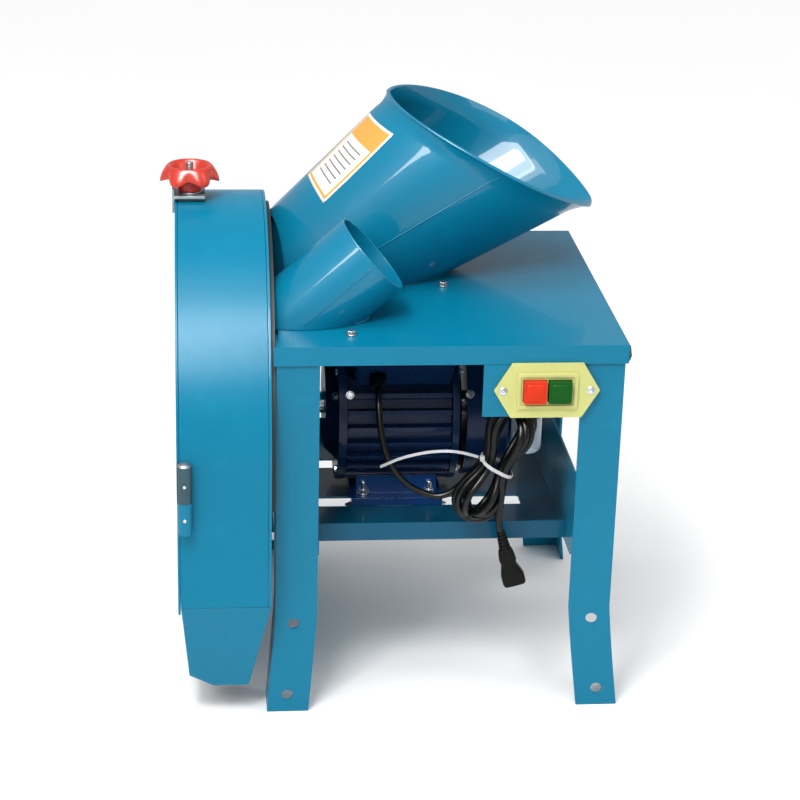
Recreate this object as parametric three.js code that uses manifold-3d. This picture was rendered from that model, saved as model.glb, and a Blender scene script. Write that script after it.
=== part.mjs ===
// Electric feed cutter and mill: a drum housing with a hinged door, two inclined
// feed inlets on a sheet-metal table, an electric motor below it and a mains switch.
// Millimetres, +Z up. X runs from the drum to the switch side, Y from front to rear.
import * as THREE from 'three';
import { mergeVertices } from 'three/addons/utils/BufferGeometryUtils.js';
import Module from 'manifold-3d';

const wasm = await Module();
wasm.setup();

// ---------------------------------------------------------------- driving dimensions
const GAP = 0.3;
const SHEET = 2.5;
const SEAT = 0.05;
const TABLE = { width: 360, depth: 390, top: 414, lip: 20, setback: 6 };
const LEG = {
  width: 44, depth: 44, thickness: 3,
  kinkHeight: 118, kickLeft: 8.5, kickRight: 14, kickRear: 18,
  holeRadius: 6.2, holes: [19.5, 104],
};
const TRAY = { floor: 179, lip: 20, front: 46, right: 313 };
const SIDE_PLATE = { below: 6, above: 88, corner: 14 };
const MOUNT = { front: 142, rear: 248, slotLeft: 54, slotRight: 277, slotHalf: 13, slotCorner: 3 };
const AXIS = { y: 195, z: 278 };
const DRUM = { radius: 220, arcZ: 292, left: -95, right: -5.4, wall: 3, skirt: 138, facets: 26 };
const SPOUT = { bottom: 34, left: -86, right: -25, front: 0, rear: 390, cornerCut: 17 };
const DOOR = { thickness: 2.6, bottom: 131 };
const HINGE = { x: -90, y: -33.5, radius: 7.5, pin: 4, low: 227, split: 261.7, high: 301 };
const CLAMP = {
  x: -82, studRadius: 4, studTop: 551,
  padBottom: 512.3, leafBottom: 515, washerBottom: 518.3, knobBottom: 520.6,
};
const KNOB = { radius: 31.5, hubRadius: 17, height: 28, lobes: 6, lobeDepth: 7.2 };
const CHUTE = {
  y: 250, baseZ: 389, wall: 2.8,
  halfWidthBase: 76, halfHeightBase: 81.5, halfWidthNeck: 101, halfLengthNeck: 120.2,
};
const NECK = { centre: [221.8, 250, 538], slope: 0.483, run: 0.876, sideLift: 0.09 };
const GRAIN = { y: 96, radius: 47.2, tilt: 42, rimX: 105.2, rimZ: 481.2, wall: 2.5 };
const MOTOR = { left: 84, right: 196, core: 75, fin: 84, bore: 62, fins: 28, shaft: 12 };
const ROTOR = { disc: 172, endPlate: 130, pinCircle: 110, pinRadius: 6, count: 3 };
const SWITCH = { x: 277, z: 366.5, halfWidth: 54.2, halfHeight: 29.3, halfFlat: 36.5, screwOffset: 45 };
const CORD = { radius: 3.5, sides: 8 };
const SEGMENTS = 24;
// A turning bore has finer facets than its pin and this much room round it.
const FINE = 36;
const FIT = 0.08;

// ---------------------------------------------------------------- materials
const paint = (color, roughness, metalness) => (
  new THREE.MeshStandardMaterial({ color, roughness, metalness })
);
const BLUE = paint(0x2a86a8, 0.32, 0.1);
const NAVY = paint(0x1a3a66, 0.35, 0.15);
const STEEL = paint(0xa9adb0, 0.35, 0.9);
const TOOL_STEEL = paint(0x6f7478, 0.4, 0.9);
const RED = paint(0xe14b32, 0.4, 0);
const GREEN = paint(0x0f5f1a, 0.4, 0);
const CREAM = paint(0xdddf8f, 0.45, 0);
const BLACK = paint(0x15191a, 0.55, 0);
const NYLON = paint(0xc8ccd0, 0.5, 0);

// ---------------------------------------------------------------- solids
const group = new THREE.Group();
const basis = (...columns) => (
  new THREE.Matrix4().makeBasis(...columns.map((column) => new THREE.Vector3(...column)))
);
const AXES = {
  xy: new THREE.Matrix4(),
  yz: basis([0, 1, 0], [0, 0, 1], [1, 0, 0]),
  xz: basis([1, 0, 0], [0, 0, 1], [0, -1, 0]),
};

function toSolid(geometry) {
  const bare = geometry.index ? geometry.clone() : geometry;
  bare.deleteAttribute('normal');
  bare.deleteAttribute('uv');
  const merged = mergeVertices(bare, 1e-4);
  const vertProperties = new Float32Array(merged.attributes.position.array);
  const triVerts = new Uint32Array(merged.index.array);
  return new wasm.Manifold(new wasm.Mesh({ numProp: 3, vertProperties, triVerts }));
}

function toGeometry(solid) {
  const mesh = solid.getMesh();
  const geometry = new THREE.BufferGeometry();
  geometry.setAttribute('position', new THREE.BufferAttribute(new Float32Array(mesh.vertProperties), 3));
  geometry.setIndex(new THREE.BufferAttribute(new Uint32Array(mesh.triVerts), 1));
  geometry.computeVertexNormals();
  return geometry;
}

function add(name, solid, material) {
  const geometry = toGeometry(solid);
  const mesh = new THREE.Mesh(geometry, material);
  mesh.name = name;
  group.add(mesh);
  return mesh;
}

function box(x0, x1, y0, y1, z0, z1) {
  const geometry = new THREE.BoxGeometry(x1 - x0, y1 - y0, z1 - z0);
  geometry.translate((x0 + x1) / 2, (y0 + y1) / 2, (z0 + z1) / 2);
  return toSolid(geometry);
}

// A shape drawn in one of the three coordinate planes and extruded along the third axis.
function prism(shape, plane, low, high, curveSegments = 12) {
  const settings = { depth: high - low, bevelEnabled: false, curveSegments };
  const geometry = new THREE.ExtrudeGeometry(shape, settings);
  geometry.applyMatrix4(AXES[plane]);
  if (plane === 'xy') geometry.translate(0, 0, low);
  if (plane === 'yz') geometry.translate(low, 0, 0);
  if (plane === 'xz') geometry.translate(0, high, 0);
  return toSolid(geometry);
}

function polygon(points) {
  return new THREE.Shape(points.map(([a, b]) => new THREE.Vector2(a, b)));
}

function rounded(a0, a1, b0, b1, r) {
  const shape = new THREE.Shape();
  shape.moveTo(a0 + r, b0);
  shape.lineTo(a1 - r, b0);
  shape.absarc(a1 - r, b0 + r, r, -Math.PI / 2, 0, false);
  shape.lineTo(a1, b1 - r);
  shape.absarc(a1 - r, b1 - r, r, 0, Math.PI / 2, false);
  shape.lineTo(a0 + r, b1);
  shape.absarc(a0 + r, b1 - r, r, Math.PI / 2, Math.PI, false);
  shape.lineTo(a0, b0 + r);
  shape.absarc(a0 + r, b0 + r, r, Math.PI, 1.5 * Math.PI, false);
  return shape;
}

function cylinder(axis, radius, low, high, a, b, segments = SEGMENTS, topRadius = radius) {
  const geometry = new THREE.CylinderGeometry(topRadius, radius, high - low, segments);
  const mid = (low + high) / 2;
  if (axis === 'x') geometry.rotateZ(-Math.PI / 2).translate(mid, a, b);
  if (axis === 'y') geometry.translate(a, mid, b);
  if (axis === 'z') geometry.rotateX(Math.PI / 2).translate(a, b, mid);
  return toSolid(geometry);
}

const tube = (axis, outer, inner, low, high, a, b, segments) =>
  cylinder(axis, outer, low, high, a, b, segments)
    .subtract(cylinder(axis, inner, low - 1, high + 1, a, b, segments));

function turned(solid, axis, angle, centre) {
  const geometry = toGeometry(solid);
  geometry.translate(-centre.x, -centre.y, -centre.z);
  geometry.applyMatrix4(new THREE.Matrix4().makeRotationAxis(axis, angle));
  geometry.translate(centre.x, centre.y, centre.z);
  return toSolid(geometry);
}

const X_AXIS = new THREE.Vector3(1, 0, 0);
const Y_AXIS = new THREE.Vector3(0, 1, 0);
const MOTOR_CENTRE = new THREE.Vector3(0, AXIS.y, AXIS.z);
const aboutMotor = (solid, angle) => turned(solid, X_AXIS, angle, MOTOR_CENTRE);

function sweep(points, radius, sides, steps) {
  const section = new THREE.Shape();
  for (let i = 0; i < sides; i += 1) {
    const angle = (2 * Math.PI * i) / sides;
    const x = radius * Math.cos(angle);
    const y = radius * Math.sin(angle);
    if (i === 0) section.moveTo(x, y);
    else section.lineTo(x, y);
  }
  const path = new THREE.CatmullRomCurve3(points.map((p) => new THREE.Vector3(...p)), false, 'centripetal');
  const geometry = new THREE.ExtrudeGeometry(section, { steps, extrudePath: path, bevelEnabled: false });
  return toSolid(geometry);
}

// ---------------------------------------------------------------- table, legs and tray
function tableTop() {
  const { width, depth, top, lip, setback } = TABLE;
  const left = setback;
  const outline = polygon([[0, 0], [width, 0], [width, depth], [0, depth], [left, depth - 9], [left, 9]]);
  let solid = prism(outline, 'xy', top - SHEET, top);
  solid = solid.add(box(0, width, 0, SHEET, top - lip, top));
  solid = solid.add(box(0, width, depth - SHEET, depth, top - lip, top));
  solid = solid.add(box(width - SHEET, width, 0, depth, top - lip, top));
  return solid;
}

const TABLE_BOLTS = [[80, 36], [190, 190]];

// side: -1 for the left legs, +1 for the right ones; end: -1 for the front, +1 for the rear.
function leg(side, end) {
  const { width, depth, thickness, kinkHeight, holeRadius } = LEG;
  const kick = side < 0 ? LEG.kickLeft : LEG.kickRight;
  const kickBack = end < 0 ? 0 : LEG.kickRear;
  const inset = SHEET + GAP;
  const outerX = side < 0 ? inset : TABLE.width - inset;
  const outerY = end < 0 ? inset : TABLE.depth - inset;
  const section = polygon([
    [0, 0], [width, 0], [width, thickness], [thickness, thickness], [thickness, depth], [0, depth],
  ]);
  const height = TABLE.top - SHEET - GAP;
  const geometry = new THREE.ExtrudeGeometry(section, { depth: height, bevelEnabled: false, steps: 14 });
  const flat = toSolid(geometry);
  const holes = LEG.holes.map((z) => cylinder('y', holeRadius, -1, thickness + 1, 20, z, 16));
  const cut = holes.reduce((body, hole) => body.subtract(hole), flat);
  const bent = toGeometry(cut);
  const position = bent.attributes.position;
  for (let i = 0; i < position.count; i += 1) {
    const drop = (Math.max(0, kinkHeight - position.getZ(i)) / kinkHeight) ** 1.15;
    position.setX(i, position.getX(i) - kick * drop);
    position.setY(i, position.getY(i) - kickBack * drop);
  }
  bent.applyMatrix4(new THREE.Matrix4().makeScale(-side, -end, 1));
  if (side * end < 0) bent.index.array.reverse();
  bent.translate(outerX, outerY, 0);
  return toSolid(bent);
}

function motorTray() {
  const { floor, lip, front, right } = TRAY;
  const { slotLeft, slotRight, slotHalf, slotCorner } = MOUNT;
  const rear = TABLE.depth - front;
  const left = SHEET + LEG.thickness + 2 * GAP;
  let solid = box(left, right, front, rear, floor, floor + SHEET);
  solid = solid.add(box(left, left + SHEET, left + 1, TABLE.depth - left - 1, floor - 24, floor + SHEET));
  solid = solid.add(box(left, right, front, front + SHEET, floor, floor + lip));
  solid = solid.add(box(left, right, rear - SHEET, rear, floor, floor + lip));
  for (const y of [MOUNT.front, MOUNT.rear]) {
    const outline = rounded(slotLeft, slotRight, y - slotHalf, y + slotHalf, slotCorner);
    solid = solid.subtract(prism(outline, 'xy', floor - 1, floor + 4, 4));
  }
  return solid;
}

function traySidePlate() {
  const { floor, right } = TRAY;
  const y0 = SHEET + 2 * GAP + LEG.thickness;
  const y1 = TABLE.depth - y0;
  const x = right + GAP;
  const tabEnd = TABLE.width - SHEET - LEG.thickness - 2 * GAP;
  const { below, above, corner } = SIDE_PLATE;
  const plate = prism(rounded(y0, y1, floor - below, floor + above, corner), 'yz', x, x + SHEET, 5);
  const tab = (y) => box(x, tabEnd, y, y + SHEET, floor + 30, floor + 70);
  return plate.add(tab(y0)).add(tab(y1 - SHEET));
}

// ---------------------------------------------------------------- drum housing
function drumProfile(radius, bottom) {
  const shape = new THREE.Shape();
  shape.moveTo(AXIS.y + radius, bottom);
  shape.lineTo(AXIS.y + radius, DRUM.arcZ);
  shape.absarc(AXIS.y, DRUM.arcZ, radius, 0, Math.PI, false);
  shape.lineTo(AXIS.y - radius, bottom);
  return shape;
}

function housingBand() {
  const { radius, left, right, wall, skirt } = DRUM;
  const outer = prism(drumProfile(radius, skirt), 'yz', left, right, DRUM.facets);
  const inner = prism(drumProfile(radius - wall, skirt - 1), 'yz', left - 1, right + 1, DRUM.facets);
  return outer.subtract(inner);
}

function feedOpening() {
  const shape = new THREE.Shape();
  shape.absellipse(CHUTE.y, CHUTE.baseZ, 68, 73, 0, 2 * Math.PI, false, 0);
  const window = prism(shape, 'yz', DRUM.right - 10, DRUM.right + 20, 16);
  return window.intersect(box(-40, 40, 0, 420, TABLE.top + 3, 600));
}

function grainOpening() {
  const shape = new THREE.Shape();
  shape.absellipse(GRAIN.y, 383, 42, 58, 0, 2 * Math.PI, false, 0);
  const window = prism(shape, 'yz', DRUM.right - 10, DRUM.right + 20, 16);
  return window.intersect(box(-40, 40, 0, 420, TABLE.top + 3, 600));
}

function housingBackPlate() {
  const x = DRUM.right + GAP;
  let solid = prism(drumProfile(DRUM.radius, DRUM.skirt), 'yz', x, x + DRUM.wall, DRUM.facets);
  solid = solid.subtract(feedOpening()).subtract(grainOpening());
  return solid.subtract(cylinder('x', 30, x - 5, x + 10, AXIS.y, AXIS.z));
}

// Rubber spacer between the drum and the stand.
function standGasket() {
  const x = DRUM.right + GAP + DRUM.wall + GAP;
  let solid = prism(drumProfile(DRUM.radius - 12, 240), 'yz', x, x + 4.3, 24);
  solid = solid.subtract(feedOpening()).subtract(grainOpening());
  return solid.subtract(cylinder('x', 60, x - 5, x + 10, AXIS.y, AXIS.z, 32));
}

// Tapered four-sided hopper under the drum, open above and below.
function hopper(inset, stretch) {
  const top = DRUM.skirt - GAP;
  const geometry = new THREE.BoxGeometry(1, 1, 1);
  const position = geometry.attributes.position;
  for (let i = 0; i < position.count; i += 1) {
    const high = position.getZ(i) > 0;
    const fx = position.getX(i) + 0.5;
    const fy = position.getY(i) + 0.5;
    const x0 = (high ? DRUM.left : SPOUT.left) + inset;
    const x1 = (high ? DRUM.right + DRUM.wall + GAP : SPOUT.right) - inset;
    const y0 = (high ? AXIS.y - DRUM.radius : SPOUT.front) + inset;
    const y1 = (high ? AXIS.y + DRUM.radius : SPOUT.rear) - inset;
    const z = high ? top + stretch : SPOUT.bottom - stretch;
    position.setXYZ(i, x0 + (x1 - x0) * fx, y0 + (y1 - y0) * fy, z);
  }
  return toSolid(geometry);
}

function dischargeSpout() {
  const { left, bottom, cornerCut } = SPOUT;
  const corner = polygon([
    [left - 40, bottom - 9], [left + 24, bottom - 9], [left + 24, bottom],
    [left - 6, bottom + cornerCut], [left - 40, bottom + cornerCut],
  ]);
  return hopper(0, 0).subtract(hopper(DRUM.wall, 0.5)).subtract(prism(corner, 'xz', -100, 500));
}

// Perforated trough around the lower half of the rotor.
function screen() {
  const radius = 180;
  const left = DRUM.left + 10;
  const right = DRUM.right - 11.5;
  let solid = tube('x', radius + 2.5, radius, left, right, AXIS.y, AXIS.z, 40);
  solid = solid.intersect(box(left - 1, right + 1, AXIS.y - 220, AXIS.y + 220, 0, AXIS.z - 60));
  const reach = DRUM.radius - DRUM.wall - GAP;
  for (const [y0, y1] of [[AXIS.y - reach, AXIS.y - 169], [AXIS.y + 169, AXIS.y + reach]]) {
    solid = solid.add(box(left, right, y0, y1, AXIS.z - 62.5, AXIS.z - 60));
  }
  for (let row = 0; row < 2; row += 1) {
    for (let i = -3; i <= 3; i += 1) {
      const rim = AXIS.z - radius;
      const hole = cylinder('z', 8, rim - 8, rim + 8, left + 20 + row * 30, AXIS.y, 6);
      solid = solid.subtract(aboutMotor(hole, i * 0.28 + row * 0.14));
    }
  }
  return solid;
}

// ---------------------------------------------------------------- door and clamp
const DOOR_X = DRUM.left - GAP - DOOR.thickness;

function doorPlate() {
  return prism(drumProfile(DRUM.radius, DOOR.bottom), 'yz', DOOR_X, DOOR_X + DOOR.thickness, DRUM.facets);
}

function doorSeal() {
  const x = DRUM.left;
  const { radius, wall, arcZ, facets } = DRUM;
  const outer = prism(drumProfile(radius - wall - 1, arcZ - 50), 'yz', x, x + 2.4, facets);
  const inner = prism(drumProfile(radius - 11, arcZ - 51), 'yz', x - 1, x + 4, facets);
  return outer.subtract(inner);
}

function doorKnuckle() {
  const { x, y, radius, pin, split, high } = HINGE;
  const low = split + GAP;
  const barrel = cylinder('z', radius, low, high, x, y);
  const arm = box(DOOR_X, x, y - 3, y + 1, low, high);
  const leaf = box(DOOR_X, DOOR_X + DOOR.thickness, y - 3, AXIS.y - DRUM.radius - GAP, low, high);
  return barrel.add(arm).add(leaf).subtract(cylinder('z', pin + FIT, low - 1, high - 4, x, y, FINE));
}

function housingKnuckle() {
  const { x, y, radius, pin, low, split, high } = HINGE;
  const barrel = cylinder('z', radius, low, split, x, y);
  const tab = box(x - 3, x + 3, y, AXIS.y - DRUM.radius - GAP, low, split);
  return barrel.add(tab).add(cylinder('z', pin, split - 1, high - 4 - GAP, x, y));
}

function clampPad() {
  const z = CLAMP.padBottom;
  return box(DRUM.left, CLAMP.x + 16, AXIS.y - 15, AXIS.y + 15, z, z + 2.4).subtract(
    cylinder('z', 9, z - 1, z + 4, CLAMP.x, AXIS.y));
}

// Angle bracket on the door: its leaf lies over the drum and is slotted for the stud.
function doorBracket() {
  const { x, leafBottom } = CLAMP;
  const outer = DOOR_X - GAP - 2.5;
  const leaf = box(outer, CLAMP.x + 16, AXIS.y - 17, AXIS.y + 17, leafBottom, leafBottom + 3);
  const ear = box(outer, DOOR_X - GAP, AXIS.y - 17, AXIS.y + 17, leafBottom - 15, leafBottom + 11);
  const slot = box(x, x + 30, AXIS.y - 6.2, AXIS.y + 6.2, leafBottom - 1, leafBottom + 4);
  const studHole = cylinder('z', 6.2, leafBottom - 1, leafBottom + 4, x, AXIS.y);
  return leaf.add(ear).subtract(slot).subtract(studHole);
}

function clampStud() {
  const { x, studRadius, studTop, padBottom } = CLAMP;
  return cylinder('z', studRadius, padBottom, studTop, x, AXIS.y, 16)
    .add(cylinder('z', 8, padBottom, padBottom + 1.6, x, AXIS.y, 16));
}

function clampWasher() {
  const z = CLAMP.washerBottom;
  return tube('z', 12, CLAMP.studRadius + GAP, z, z + 2, CLAMP.x, AXIS.y);
}

function starKnob() {
  const { x, knobBottom, studRadius } = CLAMP;
  const { radius, hubRadius, height, lobes, lobeDepth } = KNOB;
  const shape = new THREE.Shape();
  const count = lobes * 8;
  for (let i = 0; i < count; i += 1) {
    const angle = (2 * Math.PI * i) / count;
    const r = radius - (lobeDepth * (1 - Math.cos(lobes * angle))) / 2;
    const point = [x + r * Math.cos(angle), AXIS.y + r * Math.sin(angle)];
    if (i === 0) shape.moveTo(...point);
    else shape.lineTo(...point);
  }
  const star = prism(shape, 'xy', knobBottom + 8, knobBottom + 20);
  const hub = cylinder('z', hubRadius - 3, knobBottom, knobBottom + 9, x, AXIS.y, SEGMENTS, hubRadius);
  const crownTop = knobBottom + height;
  const crown = cylinder('z', hubRadius + 3, knobBottom + 19, crownTop, x, AXIS.y, SEGMENTS, hubRadius);
  const bore = cylinder('z', studRadius + FIT, knobBottom - 1, knobBottom + height + 1, x, AXIS.y, FINE);
  const recess = cylinder('z', 10, knobBottom + height - 6, knobBottom + height + 1, x, AXIS.y);
  return star.add(hub).add(crown).subtract(bore).subtract(recess);
}

// ---------------------------------------------------------------- feed inlets
// Sections run from the drum wall (row 0) to the neck (row 3) and out over the rolled rim.
const CHUTE_ROWS = 6;
const CHUTE_NECK_ROW = 3;

function chuteSection(row, inset) {
  const base = {
    centre: [-4, CHUTE.y, CHUTE.baseZ],
    u: [0, 0, -CHUTE.halfHeightBase],
    v: [0, CHUTE.halfWidthBase, 0],
  };
  const length = CHUTE.halfLengthNeck;
  const width = CHUTE.halfWidthNeck;
  const neck = {
    centre: NECK.centre,
    u: [NECK.run * length, 0, -NECK.slope * length],
    v: [0, width, NECK.sideLift * width],
  };
  const t = Math.min(row / CHUTE_NECK_ROW, 1);
  const flare = Math.max(0, row - CHUTE_NECK_ROW) / (CHUTE_ROWS - CHUTE_NECK_ROW);
  const mix = (a, b) => new THREE.Vector3(...a).lerp(new THREE.Vector3(...b), t);
  const centre = mix(base.centre, neck.centre).add(new THREE.Vector3(22.2, 0, 13.8).multiplyScalar(flare));
  const u = mix(base.u, neck.u);
  const v = mix(base.v, neck.v);
  const spread = 10 * flare ** 1.8 - inset;
  u.setLength(u.length() + spread);
  v.setLength(v.length() + spread);
  return { centre, u, v, tip: 0.42 * t * t + 0.1 * flare, arch: 12 * t, skew: 0.22 * t };
}

function chuteSolid(inset, stretch) {
  const geometry = new THREE.CylinderGeometry(1, 1, 1, 32, CHUTE_ROWS);
  const position = geometry.attributes.position;
  for (let i = 0; i < position.count; i += 1) {
    const row = Math.round((position.getY(i) + 0.5) * CHUTE_ROWS);
    const { centre, u, v, tip, arch, skew } = chuteSection(row, inset);
    const a = position.getX(i);
    const far = Math.max(0, position.getZ(i));
    const b = position.getZ(i) * (1 - (tip - 0.16 * far) * Math.max(0, a) ** 2.2);
    const point = centre.clone().addScaledVector(u, a + skew * far).addScaledVector(v, b);
    point.z += arch * (1 - a * a);
    const push = row === 0 ? -40 - stretch : row === CHUTE_ROWS ? stretch : 0;
    point.addScaledVector(new THREE.Vector3(0.6, 0, 0.8), push);
    position.setXYZ(i, point.x, point.y, point.z);
  }
  const solid = toSolid(geometry);
  if (solid.volume() > 0) return solid;
  geometry.index.array.reverse();
  return toSolid(geometry);
}

const CHUTE_BACK = 2.8;
const CHUTE_SLANT = 92;

// Everything on the drum side of the chute's end, which slants away from the drum towards the front.
function chuteEndCutter() {
  const x = CHUTE_BACK;
  const outline = polygon([[-200, -200], [x + CHUTE_SLANT, -200], [x, CHUTE.y], [x, 700], [-200, 700]]);
  return prism(outline, 'xy', 100, 800);
}

function mainChute() {
  const shell = chuteSolid(0, 0).subtract(chuteSolid(CHUTE.wall, 2));
  return shell.subtract(box(-300, 500, -100, 600, 0, TABLE.top + GAP)).subtract(chuteEndCutter());
}

function feedThroat() {
  const liner = CHUTE.wall + 1.4;
  const shell = chuteSolid(liner, 0).subtract(chuteSolid(liner + 2.6, 2));
  return shell.intersect(box(CHUTE_BACK, 46, 100, 400, TABLE.top + GAP, 700));
}

function grainTube() {
  const { y, radius, tilt, rimX, rimZ, wall } = GRAIN;
  const centre = new THREE.Vector3(rimX, y, rimZ);
  const angle = -THREE.MathUtils.degToRad(tilt);
  const level = tube('x', radius, radius - wall, rimX - 260, rimX, y, rimZ, 40);
  const long = turned(level, Y_AXIS, angle, centre);
  return long.intersect(box(CHUTE_BACK, 400, 0, 300, TABLE.top + GAP, 800));
}

// ---------------------------------------------------------------- motor
function motorFrame() {
  const { left, right, core, fin, bore, fins } = MOTOR;
  const shape = new THREE.Shape();
  for (let i = 0; i < fins; i += 1) {
    const step = (2 * Math.PI) / fins;
    for (const [offset, r] of [[-0.22, core], [-0.14, fin], [0.14, fin], [0.22, core]]) {
      const angle = (i + offset) * step;
      const point = [AXIS.y + r * Math.cos(angle), AXIS.z + r * Math.sin(angle)];
      if (i === 0 && offset === -0.22) shape.moveTo(...point);
      else shape.lineTo(...point);
    }
  }
  const hole = cylinder('x', bore, left - 1, right + 1, AXIS.y, AXIS.z, 32);
  return prism(shape, 'yz', left, right).subtract(hole);
}

function endBell(low, high, flangeLow, flangeHigh) {
  const flange = cylinder('x', MOTOR.fin + 1, flangeLow, flangeHigh, AXIS.y, AXIS.z, 32);
  const dish = low < flangeLow
    ? cylinder('x', MOTOR.core - 25, low, high, AXIS.y, AXIS.z, 32, MOTOR.core)
    : cylinder('x', MOTOR.core, low, high, AXIS.y, AXIS.z, 32, MOTOR.core - 25);
  return flange.add(dish).subtract(cylinder('x', 15.05, low - 5, high + 5, AXIS.y, AXIS.z));
}

function bearing(low, high) {
  const race = cylinder('x', 15, low, high, AXIS.y, AXIS.z);
  return race.subtract(cylinder('x', MOTOR.shaft + FIT, low - 1, high + 1, AXIS.y, AXIS.z, 2 * SEGMENTS));
}

function motorStator() {
  const { left, right, bore } = MOTOR;
  return tube('x', bore - GAP, 42, left + 14, right - 14, AXIS.y, AXIS.z, 32);
}

function motorShaft() {
  return cylinder('x', MOTOR.shaft, -84, 246, AXIS.y, AXIS.z)
    .add(cylinder('x', 40, MOTOR.left + 18, MOTOR.right - 18, AXIS.y, AXIS.z, 32));
}

const COWL = { low: 212.6, high: 258, radius: 81 };

function fanCowl() {
  const { low, high, radius } = COWL;
  const shell = cylinder('x', radius, low, high, AXIS.y, AXIS.z, 40, radius - 6);
  const inside = cylinder('x', radius - 2.5, low - 1, high - 2.5, AXIS.y, AXIS.z, 40, radius - 8.5);
  let solid = shell.subtract(inside);
  for (let i = 0; i < 10; i += 1) {
    const hole = cylinder('x', 6, high - 6, high + 3, AXIS.y + 30, AXIS.z, 8);
    solid = solid.subtract(aboutMotor(hole, (i * Math.PI) / 5));
  }
  return solid;
}

function coolingFan() {
  const x = COWL.low + 6;
  const backing = cylinder('x', 60, x, x + 3, AXIS.y, AXIS.z, 32);
  const blade = box(x, x + 24, AXIS.y - 1.5, AXIS.y + 1.5, AXIS.z + 12, AXIS.z + 66);
  let solid = cylinder('x', 20, x, x + 24, AXIS.y, AXIS.z).add(backing);
  for (let i = 0; i < 8; i += 1) {
    solid = solid.add(aboutMotor(blade, i * Math.PI / 4));
  }
  return solid.subtract(cylinder('x', MOTOR.shaft + SEAT, x - 1, x + 30, AXIS.y, AXIS.z));
}

// Cast foot: a saddle under the frame on a flat base with four lugs.
function motorFoot() {
  const base = TRAY.floor + SHEET + GAP;
  const x0 = MOTOR.left + 6;
  const x1 = MOTOR.right - 6;
  const plate = box(x0, x1, MOUNT.front - 14, MOUNT.rear + 14, base, base + 9);
  const saddle = box(x0 + 6, x1 - 6, AXIS.y - 52, AXIS.y + 52, base + 8, base + 46);
  const frameRoom = cylinder('x', MOTOR.fin + GAP, x0 - 5, x1 + 5, AXIS.y, AXIS.z, 40);
  let solid = plate.add(saddle).subtract(frameRoom);
  for (const [x, y] of FOOT_BOLTS) {
    solid = solid.subtract(cylinder('z', 4.5, base - 1, base + 12, x, y, 12));
  }
  return solid;
}

const FOOT_BOLTS = [[104, MOUNT.front], [176, MOUNT.front], [104, MOUNT.rear], [176, MOUNT.rear]];

// Junction box on the upper front of the frame, built upright and then leaned forward.
const BOX_LEAN = THREE.MathUtils.degToRad(34);
const leaned = (solid) => aboutMotor(solid, BOX_LEAN);
const BOX = { x0: 90, x1: 196, half: 36, low: AXIS.z + MOTOR.fin + GAP, high: AXIS.z + MOTOR.fin + 30 };

function junctionBox() {
  const { x0, x1, half, low, high } = BOX;
  const outer = prism(rounded(x0, x1, AXIS.y - half, AXIS.y + half, 8), 'xy', low, high, 4);
  const innerOutline = rounded(x0 + 4, x1 - 4, AXIS.y - half + 4, AXIS.y + half - 4, 5);
  const inner = prism(innerOutline, 'xy', low + 4, high + 1, 4);
  const entry = cylinder('y', 6.2, AXIS.y - half - 1, AXIS.y - half + 6, BOX.x0 + 24, low + 15, 16);
  return leaned(outer.subtract(inner).subtract(entry));
}

function junctionBoxLid() {
  const { x0, x1, half, high } = BOX;
  const outline = rounded(x0 - 2, x1 + 2, AXIS.y - half - 2, AXIS.y + half + 2, 9);
  return leaned(prism(outline, 'xy', high + GAP, high + 5, 4));
}

function cableGland() {
  const y = AXIS.y - BOX.half;
  const x = BOX.x0 + 24;
  const z = BOX.low + 15;
  const nut = cylinder('y', 10, y - 7, y - GAP, x, z, 6);
  const dome = cylinder('y', 7, y - 15, y - 7, x, z, 16, 9);
  const thread = cylinder('y', 6, y - 1, y + 5, x, z, 16);
  return leaned(nut.add(dome).add(thread));
}

function rotorDisc() {
  const hub = cylinder('x', 27, -64, -14, AXIS.y, AXIS.z, 32);
  let solid = cylinder('x', ROTOR.disc, -32, -25, AXIS.y, AXIS.z, 48).add(hub);
  for (let i = 0; i < 3; i += 1) {
    const slot = box(-40, -20, AXIS.y - 22, AXIS.y - 4, AXIS.z + 62, AXIS.z + 160);
    solid = solid.subtract(aboutMotor(slot, (2 * Math.PI * i) / 3));
  }
  solid = solid.subtract(cylinder('x', MOTOR.shaft + SEAT, -70, -10, AXIS.y, AXIS.z));
  return pinHoles(solid);
}

function pinHoles(solid) {
  let cut = solid;
  for (let i = 0; i < ROTOR.count; i += 1) {
    const [y, z] = pinPlace(i);
    cut = cut.subtract(cylinder('x', ROTOR.pinRadius + SEAT, -80, -10, y, z, 16));
  }
  return cut;
}

// The first pin is turned away from the knife slots.
function pinPlace(i) {
  const angle = Math.PI / 6 + 0.15 + ((2 * Math.PI) / ROTOR.count) * i;
  return [AXIS.y + ROTOR.pinCircle * Math.cos(angle), AXIS.z + ROTOR.pinCircle * Math.sin(angle)];
}

function rotorEndPlate() {
  return pinHoles(tube('x', ROTOR.endPlate, 27.2, -63, -58, AXIS.y, AXIS.z, 48));
}

function knife(i) {
  const body = box(-24.7, -19, AXIS.y - 3, AXIS.y + 30, AXIS.z + 56, AXIS.z + 160);
  const edge = turned(box(-30, -10, AXIS.y - 24, AXIS.y - 3.5, AXIS.z + 40, AXIS.z + 180),
    new THREE.Vector3(0, 0, 1), 0.5, new THREE.Vector3(-24.7, AXIS.y - 3, 0));
  return aboutMotor(body.subtract(edge), (2 * Math.PI * i) / 3);
}

function hammerPin(i) {
  const [y, z] = pinPlace(i);
  return cylinder('x', ROTOR.pinRadius, -67, -21, y, z, 16).add(cylinder('x', 9, -67, -63.3, y, z, 16));
}

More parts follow.
